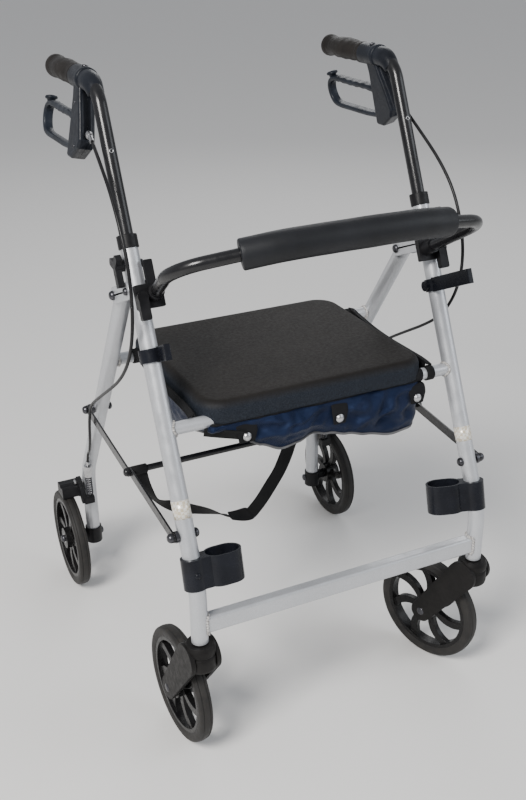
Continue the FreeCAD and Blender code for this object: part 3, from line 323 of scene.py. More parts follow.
def woven(name, low, high, pitch, sheen=0.3, rough=0.72, shine=0.20, tint=(1, 1, 1, 1)):
    """Plain weave from two crossed sets of threads, pitch in threads per metre."""
    paint = Paint(name, rough, 0.0, Sheen_Weight=sheen, Sheen_Roughness=0.5, Specular_IOR_Level=shine,
                  Specular_Tint=tint)
    tree = paint.tree
    split = tree.nodes.new("ShaderNodeSeparateXYZ")
    tree.links.new(paint.place, split.inputs[0])
    along = paint.math("ADD", split.outputs["X"], split.outputs["Y"])
    across = split.outputs["Z"]
    turns = pitch * math.pi * 2
    warp = paint.math("SINE", paint.math("MULTIPLY", along, turns))
    weft = paint.math("SINE", paint.math("MULTIPLY", paint.math("ADD", across, split.outputs["Y"]), turns))
    weave = paint.math("MULTIPLY", warp, weft)
    level = paint.scale_to(weave, 0.0, 1.0, -1.0, 1.0)
    tone = paint.ramp(paint.noise(22.0, 6.0), (0.3, low), (0.7, high))
    shade = paint.ramp(level, (0.0, (0.62, 0.62, 0.62)), (1.0, (1.15, 1.15, 1.15)))
    multiply = tree.nodes.new("ShaderNodeMix")
    multiply.data_type = "RGBA"
    multiply.blend_type = "MULTIPLY"
    multiply.inputs["Factor"].default_value = 1.0
    paint.feed(multiply.inputs["A"], tone)
    paint.feed(multiply.inputs["B"], shade)
    paint.colour(multiply.outputs["Result"])
    paint.bump(level, 0.28, 0.8)
    paint.bump(paint.noise(90.0, 5.0), 0.5, 0.4)
    return paint.material


def tyre_rubber():
    paint = Paint("dusty_tyre_rubber", 0.62, Specular_IOR_Level=0.30)
    tone = paint.ramp(paint.noise(30.0, 6.0), (0.3, (0.012, 0.0115, 0.0115)), (0.7, (0.022, 0.021, 0.020)))
    dust = paint.ramp(paint.noise(85.0, 9.0, None, 0.72), (0.46, (0, 0, 0)), (0.74, (1, 1, 1)))
    paint.colour(paint.mix(paint.math("MULTIPLY", dust, 0.22), tone, (0.10, 0.086, 0.074)))
    paint.rough(paint.scale_to(dust, 0.56, 0.82))
    paint.bump(paint.noise(650.0, 5.0), 0.16, 0.7)
    return paint.material


def tape(name="reflective_tape"):
    """Pale reflective tape with a fine quilted pattern."""
    paint = Paint(name, 0.28, 0.15, Coat_Weight=0.9, Coat_Roughness=0.08)
    node = paint.add("ShaderNodeTexChecker", Vector=paint.place, Scale=230.0)
    node.inputs["Color1"].default_value = (0.78, 0.76, 0.70, 1)
    node.inputs["Color2"].default_value = (0.58, 0.50, 0.36, 1)
    worn = paint.mix(paint.scale_to(paint.noise(130.0, 5.0), 0.0, 0.5, 0.45, 0.7), node.outputs["Color"],
                     (0.82, 0.80, 0.76))
    paint.colour(worn)
    paint.bump(paint.cells(700.0), 0.06, 0.6)
    return paint.material


MATERIALS = {
    "frame_paint": frame_paint(),
    "weld": weld_paint(),
    "black_tube": black_gloss(),
    "steel": zinc(),
    "dark_steel": zinc("oiled_spring_steel", (0.10, 0.10, 0.11)),
    "black_plastic": moulded_black("satin_black_plastic", (0.006, 0.006, 0.007),
                                   (0.013, 0.013, 0.0145), 0.36),
    "housing": moulded_black("housing_black_plastic", (0.007, 0.008, 0.011), (0.014, 0.0165, 0.023), 0.32),
    "lever": moulded_black("lever_black_plastic", (0.008, 0.010, 0.014), (0.017, 0.021, 0.030), 0.32),
    "gloss_black": moulded_black("cup_black_plastic", (0.006, 0.0065, 0.009),
                                 (0.012, 0.0135, 0.019), 0.22, 0.04),
    "rim_plastic": moulded_black("rim_black_plastic", (0.005, 0.005, 0.0055),
                                 (0.011, 0.0105, 0.0105), 0.26, 0.05),
    "fork_plastic": moulded_black("fork_black_plastic", (0.0055, 0.005, 0.005),
                                  (0.0115, 0.0105, 0.010), 0.50, 0.05),
    "seat_plastic": seat_plastic(),
    "grip_rubber": moulded_black("grip_rubber", (0.010, 0.0085, 0.0078),
                                 (0.019, 0.0165, 0.015), 0.50, 0.14, 900.0),
    "foam": foam(),
    "tyre": tyre_rubber(),
    "navy_nylon": woven("navy_nylon_weave", (0.0036, 0.0060, 0.0165),
                        (0.0080, 0.0125, 0.0310), 900, 0.0, 0.38, 0.40,
                        (0.30, 0.46, 1.0, 1)),
    "binding": woven("black_binding_weave", (0.004, 0.004, 0.005), (0.008, 0.008, 0.010), 1100, 0.0, 0.66),
    "black_webbing": woven("black_webbing_weave", (0.0045, 0.0045, 0.005),
                           (0.009, 0.009, 0.010), 620, 0.0, 0.66),
    "piping": woven("grey_piping_weave", (0.10, 0.10, 0.105), (0.17, 0.17, 0.175), 900, 0.05, 0.5),
    "cable_sheath": moulded_black("cable_sheath", (0.008, 0.008, 0.009), (0.018, 0.018, 0.019), 0.30, 0.03),
    "tape": tape(),
}


def dress_nodes():
    """Every CAD node takes the material of its slot in the record."""
    slots = {part["node"]: part["material_slot"] for part in frame["record"]["subparts"]}
    for name, node in NODES.items():
        node.data.materials.clear()
        node.data.materials.append(MATERIALS[slots[name]])


dress_nodes()

# ---- mesh helpers ------------------------------------------------------------------------------------
def add_object(name, mesh, material):
    """Link a mesh as a smooth-shaded piece with one material."""
    mesh.materials.clear()
    mesh.materials.append(MATERIALS[material])
    for face in mesh.polygons:
        face.use_smooth = True
    piece = bpy.data.objects.new(name, mesh)
    SCENE.collection.objects.link(piece)
    return piece


def mesh_piece(name, vertices, faces, material):
    mesh = bpy.data.meshes.new(name)
    mesh.from_pydata([tuple(vertex) for vertex in vertices], [], faces)
    shape = bmesh.new()
    shape.from_mesh(mesh)
    bmesh.ops.recalc_face_normals(shape, faces=shape.faces)
    shape.to_mesh(mesh)
    shape.free()
    return add_object(name, mesh, material)


def mesh_box(name, low, high, material):
    """Plain rib between two corners."""
    corners = [(x, y, z) for x in (low.x, high.x) for y in (low.y, high.y) for z in (low.z, high.z)]
    faces = [(0, 1, 3, 2), (4, 6, 7, 5), (0, 4, 5, 1), (2, 3, 7, 6), (0, 2, 6, 4), (1, 5, 7, 3)]
    return mesh_piece(name, corners, faces, material)


def loft(name, rings, material, closed=True, caps=True):
    """Skin through rings of points; closed rings, with flat caps."""
    count = len(rings[0])
    vertices = [point for ring in rings for point in ring]
    faces = []
    for level in range(len(rings) - 1):
        for index in range(count if closed else count - 1):
            after = (index + 1) % count
            base = level * count
            faces.append((base + index, base + after, base + count + after, base + count + index))
    if caps:
        faces.append(tuple(range(count)))
        faces.append(tuple(range((len(rings) - 1) * count, len(rings) * count)))
    return mesh_piece(name, vertices, faces, material)


def circle(centre, u, v, radius, count=32, squash=1.0):
    """Points of an ellipse spanned by two directions."""
    points = []
    for index in range(count):
        turn = 2 * math.pi * index / count
        points.append(centre + u * radius * math.cos(turn) + v * radius * squash * math.sin(turn))
    return points


def lathe(name, base, axis, profile, material, count=48, caps=True):
    """Turned piece from (distance along the axis, radius) in millimetres."""
    axis = axis.normalized()
    helper = Vector((0, 0, 1)) if abs(axis.z) < 0.9 else Vector((1, 0, 0))
    u = axis.cross(helper).normalized()
    v = axis.cross(u)
    rings = [circle(base + axis * along / 1000, u, v, max(radius, 0.01) / 1000, count)
             for along, radius in profile]
    return loft(name, rings, material, caps=caps)


def soften(piece, width, segments=3, angle=32):
    """Rounded edges of the given width in millimetres."""
    bevel = piece.modifiers.new("edges", "BEVEL")
    bevel.width = width / 1000
    bevel.segments = segments
    bevel.limit_method = "ANGLE"
    bevel.angle_limit = math.radians(angle)
    bevel.harden_normals = False
    bevel.use_clamp_overlap = True
    shading = piece.modifiers.new("shading", "WEIGHTED_NORMAL")
    shading.keep_sharp = True
    return piece


def subdivide(piece, levels=1):
    modifier = piece.modifiers.new("smooth", "SUBSURF")
    modifier.levels = levels
    modifier.render_levels = levels
    return piece


def joined(name, parts):
    """Several pieces as one object; the first keeps its material."""
    bpy.ops.object.select_all(action="DESELECT")
    for part in parts:
        part.select_set(True)
    bpy.context.view_layer.objects.active = parts[0]
    bpy.ops.object.join()
    parts[0].name = name
    return parts[0]


def refine(node, width, material=None, name=None, segments=2):
    """Stand-in for a CAD node: the same shape with softened edges and smooth curves."""
    source = NODES[node]
    mesh = source.data.copy()
    shape = bmesh.new()
    shape.from_mesh(mesh)
    bmesh.ops.remove_doubles(shape, verts=shape.verts, dist=2e-6)
    bmesh.ops.dissolve_degenerate(shape, edges=shape.edges, dist=1e-6)
    for edge in shape.edges:
        if len(edge.link_faces) == 2:
            edge.smooth = edge.calc_face_angle(0) < math.radians(32)
    shape.to_mesh(mesh)
    shape.free()
    slots = {part["node"]: part["material_slot"] for part in frame["record"]["subparts"]}
    piece = add_object(name or node + "_shell", mesh, material or slots[node])
    if width:
        soften(piece, width, segments)
    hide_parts(node)
    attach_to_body(piece, BODY_OF[node])
    return piece


BODY_OF = {node: body for body, nodes in frame["record"]["behaviour"]["bodies"].items() for node in nodes}


def settle(piece, node):
    """A piece that stands for a CAD node and rides with it."""
    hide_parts(node)
    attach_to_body(piece, BODY_OF[node])
    return piece


def attach(piece, body):
    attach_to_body(piece, body)
    return piece


def smooth_path(points, name="route"):
    """Points along a NURBS line that has the given control points."""
    curve = bpy.data.curves.new(name, "CURVE")
    curve.dimensions = "3D"
    curve.resolution_u = 10
    spline = curve.splines.new("NURBS")
    spline.points.add(len(points) - 1)
    for knot, point in zip(spline.points, points):
        knot.co = (*point, 1)
    spline.order_u = 3
    spline.use_endpoint_u = True
    holder = bpy.data.objects.new(name, curve)
    SCENE.collection.objects.link(holder)
    bpy.context.view_layer.update()
    line = bpy.data.meshes.new_from_object(holder)
    path = [vertex.co.copy() for vertex in line.vertices]
    bpy.data.objects.remove(holder)
    bpy.data.meshes.remove(line)
    return path


def tube(name, path, radius, material, count=14, caps=True):
    """Round tube along a dense path; radius in millimetres, or a function of the share of its length."""
    rings = []
    side = None
    for index, point in enumerate(path):
        ahead = path[min(index + 1, len(path) - 1)] - path[max(index - 1, 0)]
        ahead.normalize()
        if side is None:
            helper = Vector((0, 0, 1)) if abs(ahead.z) < 0.9 else Vector((1, 0, 0))
            side = ahead.cross(helper).normalized()
        side = (side - ahead * side.dot(ahead)).normalized()
        other = ahead.cross(side)
        size = radius(index / (len(path) - 1)) if callable(radius) else radius
        rings.append(circle(point, side, other, size / 1000, count))
    return loft(name, rings, material, caps=caps)


def noise_at(point, size):
    """Smooth noise; the size is in the point's own unit."""
    return noise.noise(point / size)


# ---- front frame -------------------------------------------------------------------------------------
def weld(name, centre, axis, radius, body, along_leg=None):
    """Rippled bead round a tube end, wrapped round the leg it meets; radius in millimetres."""
    axis = axis.normalized()
    helper = Vector((0, 0, 1)) if abs(axis.z) < 0.9 else Vector((1, 0, 0))
    u = axis.cross(helper).normalized()
    v = axis.cross(u)
    path = []
    steps = 96
    for index in range(steps + 1):
        turn = 2 * math.pi * index / steps
        out = u * math.cos(turn) + v * math.sin(turn)
        ripple = 0.35 * math.sin(turn * 26) + 0.5 * noise_at((centre + out * 0.02) * 1000, 7)
        across = radius * out.dot(along_leg.cross(axis)) if along_leg else 0
        lean = LEG_R - math.sqrt(LEG_R ** 2 - across ** 2)
        path.append(centre + out * (radius + ripple) / 1000 + axis * (lean + 0.4 * ripple) / 1000)
    bead = tube(name, path, lambda share: 2.1 + 0.5 * math.sin(share * 2 * math.pi * 30), "weld", 10, False)
    return attach(bead, body)


def make_front_frame():
    for name in ("front_leg_left", "front_leg_right", "front_crossbar", "seat_front_tube"):
        refine(name, 0.6)
    refine("pivot_plates", 0.7)
    refine("frame_bolts", 0.4, "dark_steel")
    refine("leg_bushes", 0.9)
    refine("cane_holders", 1.2, segments=3)
    refine("backrest_bar", 0.0)
    refine("backrest_saddles", 1.0)
    for name, side in SIDES:
        refine("backrest_lock_" + name, 0.8)
        refine("height_knob_" + name, 1.0)
        weld("seat_tube_weld_" + name, at(side * (LEG_X - 13.4), front_leg_y(SEAT_TUBE_Z), SEAT_TUBE_Z),
             Vector((side, 0, 0)), CROSS_TUBE_R, "front_frame", LEG_DIR)
        for level in (-1, 1):
            bead = []
            for step in range(25):
                share = step / 24
                y = FRONT_Y + (share - 0.5) * 19
                z = CROSSBAR_Z + level * 14.4
                x = side * (LEG_X - math.sqrt(max(LEG_R ** 2 - (y - FRONT_Y) ** 2, 1)) - 0.6)
                bead.append(at(x, y, z + 0.5 * math.sin(step * 2.1)))
            piece = tube("crossbar_weld_%s_%s" % (name, "low" if level < 0 else "high"), bead,
                         lambda share: 2.5 + 0.6 * math.sin(share * 30), "weld", 10)
            attach(piece, "front_frame")
        front = []
        for step in range(25):
            share = step / 24
            z = CROSSBAR_Z + (share - 0.5) * 27
            front.append(at(side * (LEG_X - 8.9), FRONT_Y - 9.6 + 0.4 * math.sin(step * 1.7), z))
        piece = tube("crossbar_weld_%s_front" % name, front, lambda share: 2.4 + 0.6 * math.sin(share * 34),
                     "weld", 10)
        attach(piece, "front_frame")
    tapes = {"left": (411, 435), "right": (419, 440)}
    for name, side in SIDES:
        low, high = tapes[name]
        start = at(side * LEG_X, front_leg_y(low), low)
        end = at(side * LEG_X, front_leg_y(high), high)
        length = (end - start).length * 1000
        band = lathe("reflector_band_" + name, start, end - start,
                     [(0, 12.6), (0.05, 13.0), (length - 0.05, 13.0), (length, 12.6)], "tape", 64)
        attach(band, "front_frame")


# ---- wheels ------------------------------------------------------------------------------------------
def wheel_places():
    """End, side and the matrix from the wheel's own frame (axle along X) to the walker."""
    places = []
    for name, side in SIDES:
        x, y, z = REAR_WHEEL
        places.append(("rear", name, Matrix.Translation(at(side * x, y, z))))
        swing = Matrix.Rotation(-CASTER_ANGLE[name], 4, "Z")
        caster = Matrix.Translation(at(side * LEG_X, FRONT_Y, 0)) @ swing
        places.append(("front", name, caster @ Matrix.Translation((0, TRAIL / 1000, WHEEL_R / 1000))))
    return places


TYRE_PROFILE = [(-8.6, 76.6), (-9.6, 78.5), (-10.6, 82.0), (-11.0, 85.5), (-10.8, 88.0), (-10.0, 90.0),
                (-8.4, 91.6), (-6.4, 92.3), (-5.9, 92.3), (-5.5, 91.4), (-4.9, 91.4), (-4.5, 92.5),
                (-2.5, 92.9), (-0.5, 93.0), (0.5, 93.0), (2.5, 92.9), (4.5, 92.5), (4.9, 91.4),
                (5.5, 91.4), (5.9, 92.3), (6.4, 92.3), (8.4, 91.6), (10.0, 90.0), (10.8, 88.0),
                (11.0, 85.5), (10.6, 82.0), (9.6, 78.5), (8.6, 76.6)]


CROWN_PROFILE = [(183.5, 0.1), (183.5, 21.5), (185, 22.8), (189, 23.8), (204, 23.8), (206.5, 23.2), (208, 22.0),
                 (210, 22.0), (211.5, 23.3), (219, 23.3), (222, 22.4), (224.3, 20.9), (226, 20.4), (226, 0.1)]


def make_fork(name, side):
    """Moulded fork: ringed crown, stem, and two broad arms that run down to the axle."""
    matrix = Matrix.Translation(at(side * LEG_X, FRONT_Y, 0)) @ Matrix.Rotation(-CASTER_ANGLE[name], 4, "Z")
    low, high = Vector((TRAIL, WHEEL_R, 0)), Vector((5.0, 199.0, 0))
    lean = math.atan2(high.y - low.y, high.x - low.x)
    edge = []
    for centre, radius, start in ((low, 18.5, lean + math.pi / 2), (high, 25.0, lean - math.pi / 2)):
        for step in range(25):
            turn = start + math.pi * step / 24
            edge.append((centre.x + radius * math.cos(turn), centre.y + radius * math.sin(turn)))
    parts = []
    for face in (-1, 1):
        rings = [[Vector((face * x, y, z)) / 1000 for y, z in edge] for x in (17.0, 24.2)]
        if face < 0:
            rings.reverse()
        parts.append(loft("fork_arm_%s_%d" % (name, face + 1), rings, "fork_plastic"))
    parts.append(lathe("fork_crown_" + name, Vector((0, 0, 0)), Vector((0, 0, 1)), CROWN_PROFILE,
                       "fork_plastic", 64))
    parts.append(lathe("fork_stem_" + name, Vector((0, 0, 0)), Vector((0, 0, 1)),
                       [(225, 0.1), (225, 8.0), (279, 8.0), (280, 7.0), (280, 0.1)], "fork_plastic", 32))
    fork = joined("moulded_fork_" + name, parts)
    fork.data.transform(matrix)
    soften(fork, 2.2, 3)
    settle(fork, "caster_fork_" + name)


def make_wheels():
    for end, name, matrix in wheel_places():
        tyre = lathe("%s_tyre_%s_moulded" % (end, name), Vector((0, 0, 0)), Vector((1, 0, 0)),
                     TYRE_PROFILE + TYRE_PROFILE[:1], "tyre", 128, False)
        tyre.data.transform(matrix)
        settle(tyre, "%s_tyre_%s" % (end, name))
        refine("%s_rim_%s" % (end, name), 1.1, "rim_plastic", segments=3)
    for name, side in SIDES:
        make_fork(name, side)
        refine("caster_axle_" + name, 0.3, "dark_steel")


# ---- push handles ------------------------------------------------------------------------------------
def rolled(side):
    """From the grip's own frame (grip axis along Y through 0, metres) to the walker."""
    place = Matrix.Translation(at(-LEG_X, 0, GRIP_Z)) @ Matrix.Rotation(HOUSING_ROLL, 4, "Y")
    return place if side < 0 else Matrix.Diagonal((-1, 1, 1, 1)) @ place


def carry(piece, matrix):
    """Move a mesh by a matrix, turning its faces over if the matrix mirrors it."""
    piece.data.transform(matrix)
    if matrix.determinant() < 0:
        piece.data.flip_normals()
    return piece


GRIP_STATIONS = [(66.5, 13.5, 13.5, 0), (67.5, 15.6, 15.6, 0), (70, 16.6, 16.6, 0), (75, 16.6, 16.6, 0),
                 (79, 15.2, 15.0, 0), (86, 15.6, 14.8, 0.2), (98, 17.6, 15.4, 0.6), (112, 19.4, 16.0, 1.0),
                 (126, 20.2, 16.2, 1.1), (140, 19.6, 15.8, 0.9), (154, 17.8, 15.0, 0.5), (166, 16.2, 14.6, 0.1),
                 (173, 16.6, 15.8, 0), (178, 17.6, 17.4, 0), (184, 17.6, 17.4, 0), (188, 15.6, 15.4, 0),
                 (189.6, 11.0, 10.8, 0), (189.9, 4.0, 4.0, 0)]


def make_grip(name, side):
    """Palm-shaped grip with finger waves underneath."""
    rings = []
    stations = []
    for (y0, a0, b0, c0), (y1, a1, b1, c1) in zip(GRIP_STATIONS, GRIP_STATIONS[1:]):
        for step in range(4):
            share = step / 4
            stations.append([p + (q - p) * share for p, q in ((y0, y1), (a0, a1), (b0, b1), (c0, c1))])
    stations.append(GRIP_STATIONS[-1])
    for y, a, b, c in stations:
        ring = []
        for index in range(48):
            turn = 2 * math.pi * index / 48
            low = max(0.0, -math.sin(turn))
            fade = max(0.0, min(1.0, (y - 84) / 10, (168 - y) / 10))
            wave = 0.9 * fade * low ** 2 * math.cos((y - 96) * 2 * math.pi / 23)
            rib = 0.35 * fade * max(0.0, math.sin(turn)) ** 3 * math.cos(y * 2 * math.pi / 4.2)
            x = (a + wave + rib) * math.cos(turn)
            z = (b + wave + rib) * math.sin(turn) + c
            ring.append(Vector((x, y, z)) / 1000)
        rings.append(ring)
    grip = loft("palm_grip_" + name, rings, "grip_rubber")
    carry(grip, rolled(side))
    settle(grip, "grip_" + name)


def make_lever(name, side):
    """Loop lever: one rounded bar swept round the finger gap, with a thumb pad on its top corner."""
    corners = [(30, -60), (60, -54), (120, -56), (178, -54), (198, -60), (205, -74), (200, -92), (186, -102),
               (130, -101), (70, -101), (30, -96)]
    path = smooth_path([Vector((0, y, z)) / 1000 for y, z in corners])
    rings = []
    count = len(path)
    for index, point in enumerate(path):
        ahead = (path[min(index + 1, count - 1)] - path[max(index - 1, 0)]).normalized()
        side_way = Vector((1, 0, 0))
        normal = ahead.cross(side_way).normalized()
        y = point.y * 1000
        upper = point.z * 1000 > -72 and y < 182
        scallop = 1.1 * math.cos(y * 2 * math.pi / 21) if upper and y > 60 else 0
        thick = 4.6 + 0.6 * scallop if upper else 4.2
        wide = 7.4
        ring = []
        for step in range(20):
            turn = 2 * math.pi * step / 20
            cu, cv = math.cos(turn), math.sin(turn)
            power = 0.55
            du = math.copysign(abs(cu) ** power, cu) * wide
            dv = math.copysign(abs(cv) ** power, cv) * thick
            ring.append(point + side_way * du / 1000 + normal * dv / 1000)
        rings.append(ring)
    bar = loft("brake_loop_" + name, rings, "lever")
    pad = lathe("thumb_pad_" + name, Vector((0, 0.192, -0.0575)), Vector((0, 0.25, 1)),
                [(-3, 5.0), (2, 6.0), (6.0, 6.6), (7.2, 9.4), (9.6, 9.8), (11.4, 8.6), (12.4, 5.0),
                 (12.7, 0.5)], "lever", 32)
    for part in (bar, pad):
        carry(part, rolled(side))
    settle(bar, "brake_lever_" + name)
    attach(pad, "lever_" + name)


def make_housing(name, side):
    """CAD half shells with softened edges, plus a clamp ring, a cuff round the bend, screws and a bolt."""
    body = "handle_" + name
    refine("brake_housing_" + name, 0.8, "housing")
    matrix = rolled(side)
    collar = lathe("clamp_collar_" + name, Vector((0, 0.0215, 0)), Vector((0, 1, 0)),
                   [(0, 10.1), (0, 16.0), (1.2, 17.2), (9, 17.4), (10.5, 16.6), (10.8, 16.4)], "housing", 48)
    carry(collar, matrix)
    attach(collar, body)
    cuff_path = smooth_path([at(side * LEG_X, y, z) for y, z in ((27, GRIP_Z), (14, GRIP_Z), (2, GRIP_Z - 1.5),
                                                                 (-8, GRIP_Z - 7), (-15, GRIP_Z - 14))])
    cuff = tube("clamp_cuff_" + name, cuff_path, lambda share: 15.4 - 3.6 * share ** 2, "housing", 40)
    attach(cuff, body)
    for tag, x, y, z in (("top", 12.0, 34, -34), ("low", 12.0, 14, -92)):
        place = Vector((-x / 1000 + 0.0006, y / 1000, z / 1000))
        profile = [(0, 3.4), (0.6, 3.4), (1.2, 2.6), (1.25, 1.5), (0.6, 1.2), (0.6, 0.1)]
        head = lathe("housing_screw_%s_%s" % (tag, name), place, Vector((-1, 0, 0)), profile, "dark_steel", 20)
        carry(head, matrix)
        attach(head, body)
    bolt = lathe("clamp_bolt_" + name, Vector((0.0, 0.040, 0.0155)), Vector((0, 0, 1)),
                 [(0, 4.6), (2.2, 4.6), (3.0, 3.6), (3.0, 2.0), (1.6, 1.8), (1.6, 0.1)], "dark_steel", 24)
    carry(bolt, matrix)
    attach(bolt, body)
    refine("cable_adjuster_" + name, 0.4)
    refine("handle_tube_" + name, 0.0)
    start = at(side * LEG_X, front_leg_y(880), 880)
    hole = start + LEG_FRONT * 0.00995
    ring = lathe("height_hole_" + name, hole - LEG_FRONT * 0.0006, LEG_FRONT,
                 [(0, 3.0), (0.75, 3.0), (0.75, 2.2), (0.2, 2.0), (0.2, 0.1)], "steel", 20)
    attach(ring, body)


# ---- seat and backrest -------------------------------------------------------------------------------
def seat_ring(inset, z):
    """Rounded rectangle a little inside the seat's outline."""
    corner = max(42.0 - inset, 5.0)
    half_x, low_y, high_y = 187.0 - inset, -238.0 + inset, 88.0 - inset
    points = []
    for cx, cy, start in ((half_x - corner, low_y + corner, -90), (half_x - corner, high_y - corner, 0),
                          (corner - half_x, high_y - corner, 90), (corner - half_x, low_y + corner, 180)):
        for step in range(13):
            turn = math.radians(start + step * 7.5)
            points.append(at(cx + corner * math.cos(turn), cy + corner * math.sin(turn), z))
    return points


def make_seat():
    """Moulded tray: hollow under, with broadly rounded top edges."""
    profile = ((120, 546.5), (6.5, 546.5), (4.0, 544), (3.6, 524), (3.0, 523.2), (1.0, 523.1), (0.2, 523.9),
               (0, 526), (0, 533), (0.4, 539))
    rings = [seat_ring(inset, z) for inset, z in profile]
    radius = 15.0
    for step in range(1, 9):
        turn = math.radians(90 * step / 8)
        rise = radius * math.sin(turn)
        rings.append(seat_ring(0.4 + radius * (1 - math.cos(turn)), SEAT_TOP - radius + rise))
    rings += [seat_ring(inset, SEAT_TOP) for inset in (24, 60, 120)]
    tray = loft("moulded_seat", rings, "seat_plastic")
    settle(tray, "seat")
    ribs = []
    for x in (-120, -60, 0, 60, 120):
        low, high = at(x - 1.2, -232, 535.5), at(x + 1.2, 82, 546.7)
        ribs.append(mesh_box("seat_rib_%d" % (x + 200), low, high, "seat_plastic"))
    for y in (-160, -75, 10):
        low, high = at(-181, y - 1.2, 537.5), at(181, y + 1.2, 546.7)
        ribs.append(mesh_box("seat_cross_rib_%d" % (y + 200), low, high, "seat_plastic"))
    rib = joined("seat_ribs", ribs)
    attach(rib, "seat")
    refine("seat_hinge_clips", 0.8)


def bow_point(x, reach):
    """A place on the backrest's bow, from its distance out along the bow's sloping plane."""
    return at(x, BOW_ROOT[0] - reach * math.cos(BOW_RISE), BOW_ROOT[1] + reach * math.sin(BOW_RISE))


def make_pad():
    """Foam sleeve with rounded ends, a glued seam underneath and shallow dents."""
    corners = [(-173, 165.5), (-150, 173.5), (-105, 187), (-50, 189), (0, 189), (50, 189), (105, 187),
               (150, 173.5), (173, 165.5)]
    route = smooth_path([bow_point(x, reach) for x, reach in corners])
    path = [point for point in route if abs(point.x) <= 0.1555]
    rings = []
    count = len(path)
    for index, point in enumerate(path):
        ahead = (path[min(index + 1, count - 1)] - path[max(index - 1, 0)]).normalized()
        u = ahead.cross(Vector((0, 0, 1))).normalized()
        v = u.cross(ahead)
        ring = []
        for step in range(56):
            turn = 2 * math.pi * step / 56
            out = u * math.cos(turn) + v * math.sin(turn)
            dent = 0.35 * noise_at((point + out * 0.02) * 1000, 46)
            seam = -0.8 * math.exp(-((turn - 4.6) / 0.05) ** 2)
            ring.append(point + out * (20.6 + dent + seam) / 1000)
        rings.append(ring)
    for end, neighbour in ((0, 1), (-1, -2)):
        out_way = (path[end] - path[neighbour]).normalized()
        base = rings[end]
        centre = path[end]
        caps = []
        for share in (0.35, 0.7, 0.92, 1.0):
            shrink = 1 - 0.16 * (1 - math.sqrt(max(1 - share ** 2, 0)))
            caps.append([centre + (point - centre) * shrink + out_way * 0.0026 * share for point in base])
        caps.append([centre + (point - centre) * 0.50 + out_way * 0.0022 for point in base])
        rings = caps[::-1] + rings if end == 0 else rings + caps
    pad = loft("backrest_foam", rings, "foam")
    settle(pad, "backrest_pad")


# ---- bag ---------------------------------------------------------------------------------------------
FLAPS = ((-122, 497, 17), (30, 492, 14), (166, 496, 15))
BAG_HALF = 179.0
BAG_FRONT = -233.0
BAG_REAR = 7.0
BAG_SAG = ((-180, 505), (-150, 503), (-128, 494), (-112, 481), (-100, 475), (-63, 462), (-36, 466), (-12, 474),
           (16, 465), (50, 455), (84, 447), (130, 440), (165, 445), (182, 453))


def bag_bottom(x):
    """Height of the bag's lower front edge, which sags unevenly and lifts at its left end."""
    x = max(-180, min(182, x))
    for (x0, z0), (x1, z1) in zip(BAG_SAG, BAG_SAG[1:]):
        if x <= x1:
            share = (x - x0) / (x1 - x0)
            return z0 + (z1 - z0) * share * share * (3 - 2 * share)
    return BAG_SAG[-1][1]


def bag_outline(count=220):
    """Points round the bag, seen from above, as (x, y) with rounded corners."""
    corner = 20.0
    half_x, half_y = BAG_HALF - corner, (BAG_REAR - BAG_FRONT) / 2 - corner
    centre_y = (BAG_REAR + BAG_FRONT) / 2
    straight = [2 * half_x, 2 * half_y] * 2
    arc = math.pi * corner / 2
    total = sum(straight) + 4 * arc
    low_y, high_y = centre_y - half_y, centre_y + half_y
    starts = [(-half_x, low_y, -90), (half_x, low_y, 0), (half_x, high_y, 90), (-half_x, high_y, 180)]
    points = []
    for index in range(count):
        place = total * index / count
        for (cx, cy, angle), run in zip(starts, straight):
            way = math.radians(angle)
            out = (math.cos(way), math.sin(way))
            along = (-out[1], out[0])
            if place < run:
                x, y = cx + out[0] * corner, cy + out[1] * corner
                points.append((x + along[0] * place, y + along[1] * place))
                break
            place -= run
            if place < arc:
                turn = way + place / corner
                nx, ny = cx + along[0] * run, cy + along[1] * run
                points.append((nx + corner * math.cos(turn), ny + corner * math.sin(turn)))
                break
            place -= arc
    return points


def cloth_point(x, y, depth, top, bottom):
    """A place on the bag's side wall: depth 0 at the top edge and 1 at the bottom edge."""
    z = top + (bottom - top) * depth
    middle_y = (BAG_REAR + BAG_FRONT) / 2
    swell = math.sin(math.pi * min(max(depth, 0), 1) ** 0.8) * 9.0
    shrink = 1 - 0.03 * depth ** 2
    out_x = math.copysign(1, x) * max(0, abs(x) - 120) / 60
    out_y = (y - middle_y) / ((BAG_REAR - BAG_FRONT) / 2)
    ridge = 1 - 2 * abs(noise_at(Vector((x + 0.4 * z, y, 1.6 * z - 0.5 * x)), 46))
    crease = 1 - 2 * abs(noise_at(Vector((x - 0.6 * z + 310, y, z * 0.8 + 0.3 * x)), 24))
    edge = math.sin(math.pi * min(max(depth, 0.04), 1) ** 0.7)
    fold = 15.0 * (ridge - 0.58) + 5.0 * (crease - 0.6)
    tuck = 0.0
    pinned = 0.0
    for stud_x, _, half in FLAPS:
        away = (x - stud_x) / (half + 9)
        tuck = max(tuck, math.exp(-away ** 2) * math.exp(-((depth - 0.35) / 0.45) ** 2))
        pinned = max(pinned, min(1.0, 1.6 * math.exp(-away ** 2)))
    push = swell * (1 - 0.9 * tuck) + fold * edge * (1 - 0.85 * tuck)
    new_x = x * shrink + out_x * push * 0.5
    new_y = middle_y + (y - middle_y) * shrink + out_y * push
    sag = 1.6 * edge * (crease - 0.6)
    return Vector((new_x, max(new_y, BAG_FRONT - 7.8 - 9.0 * (1 - pinned) * edge), z + sag))


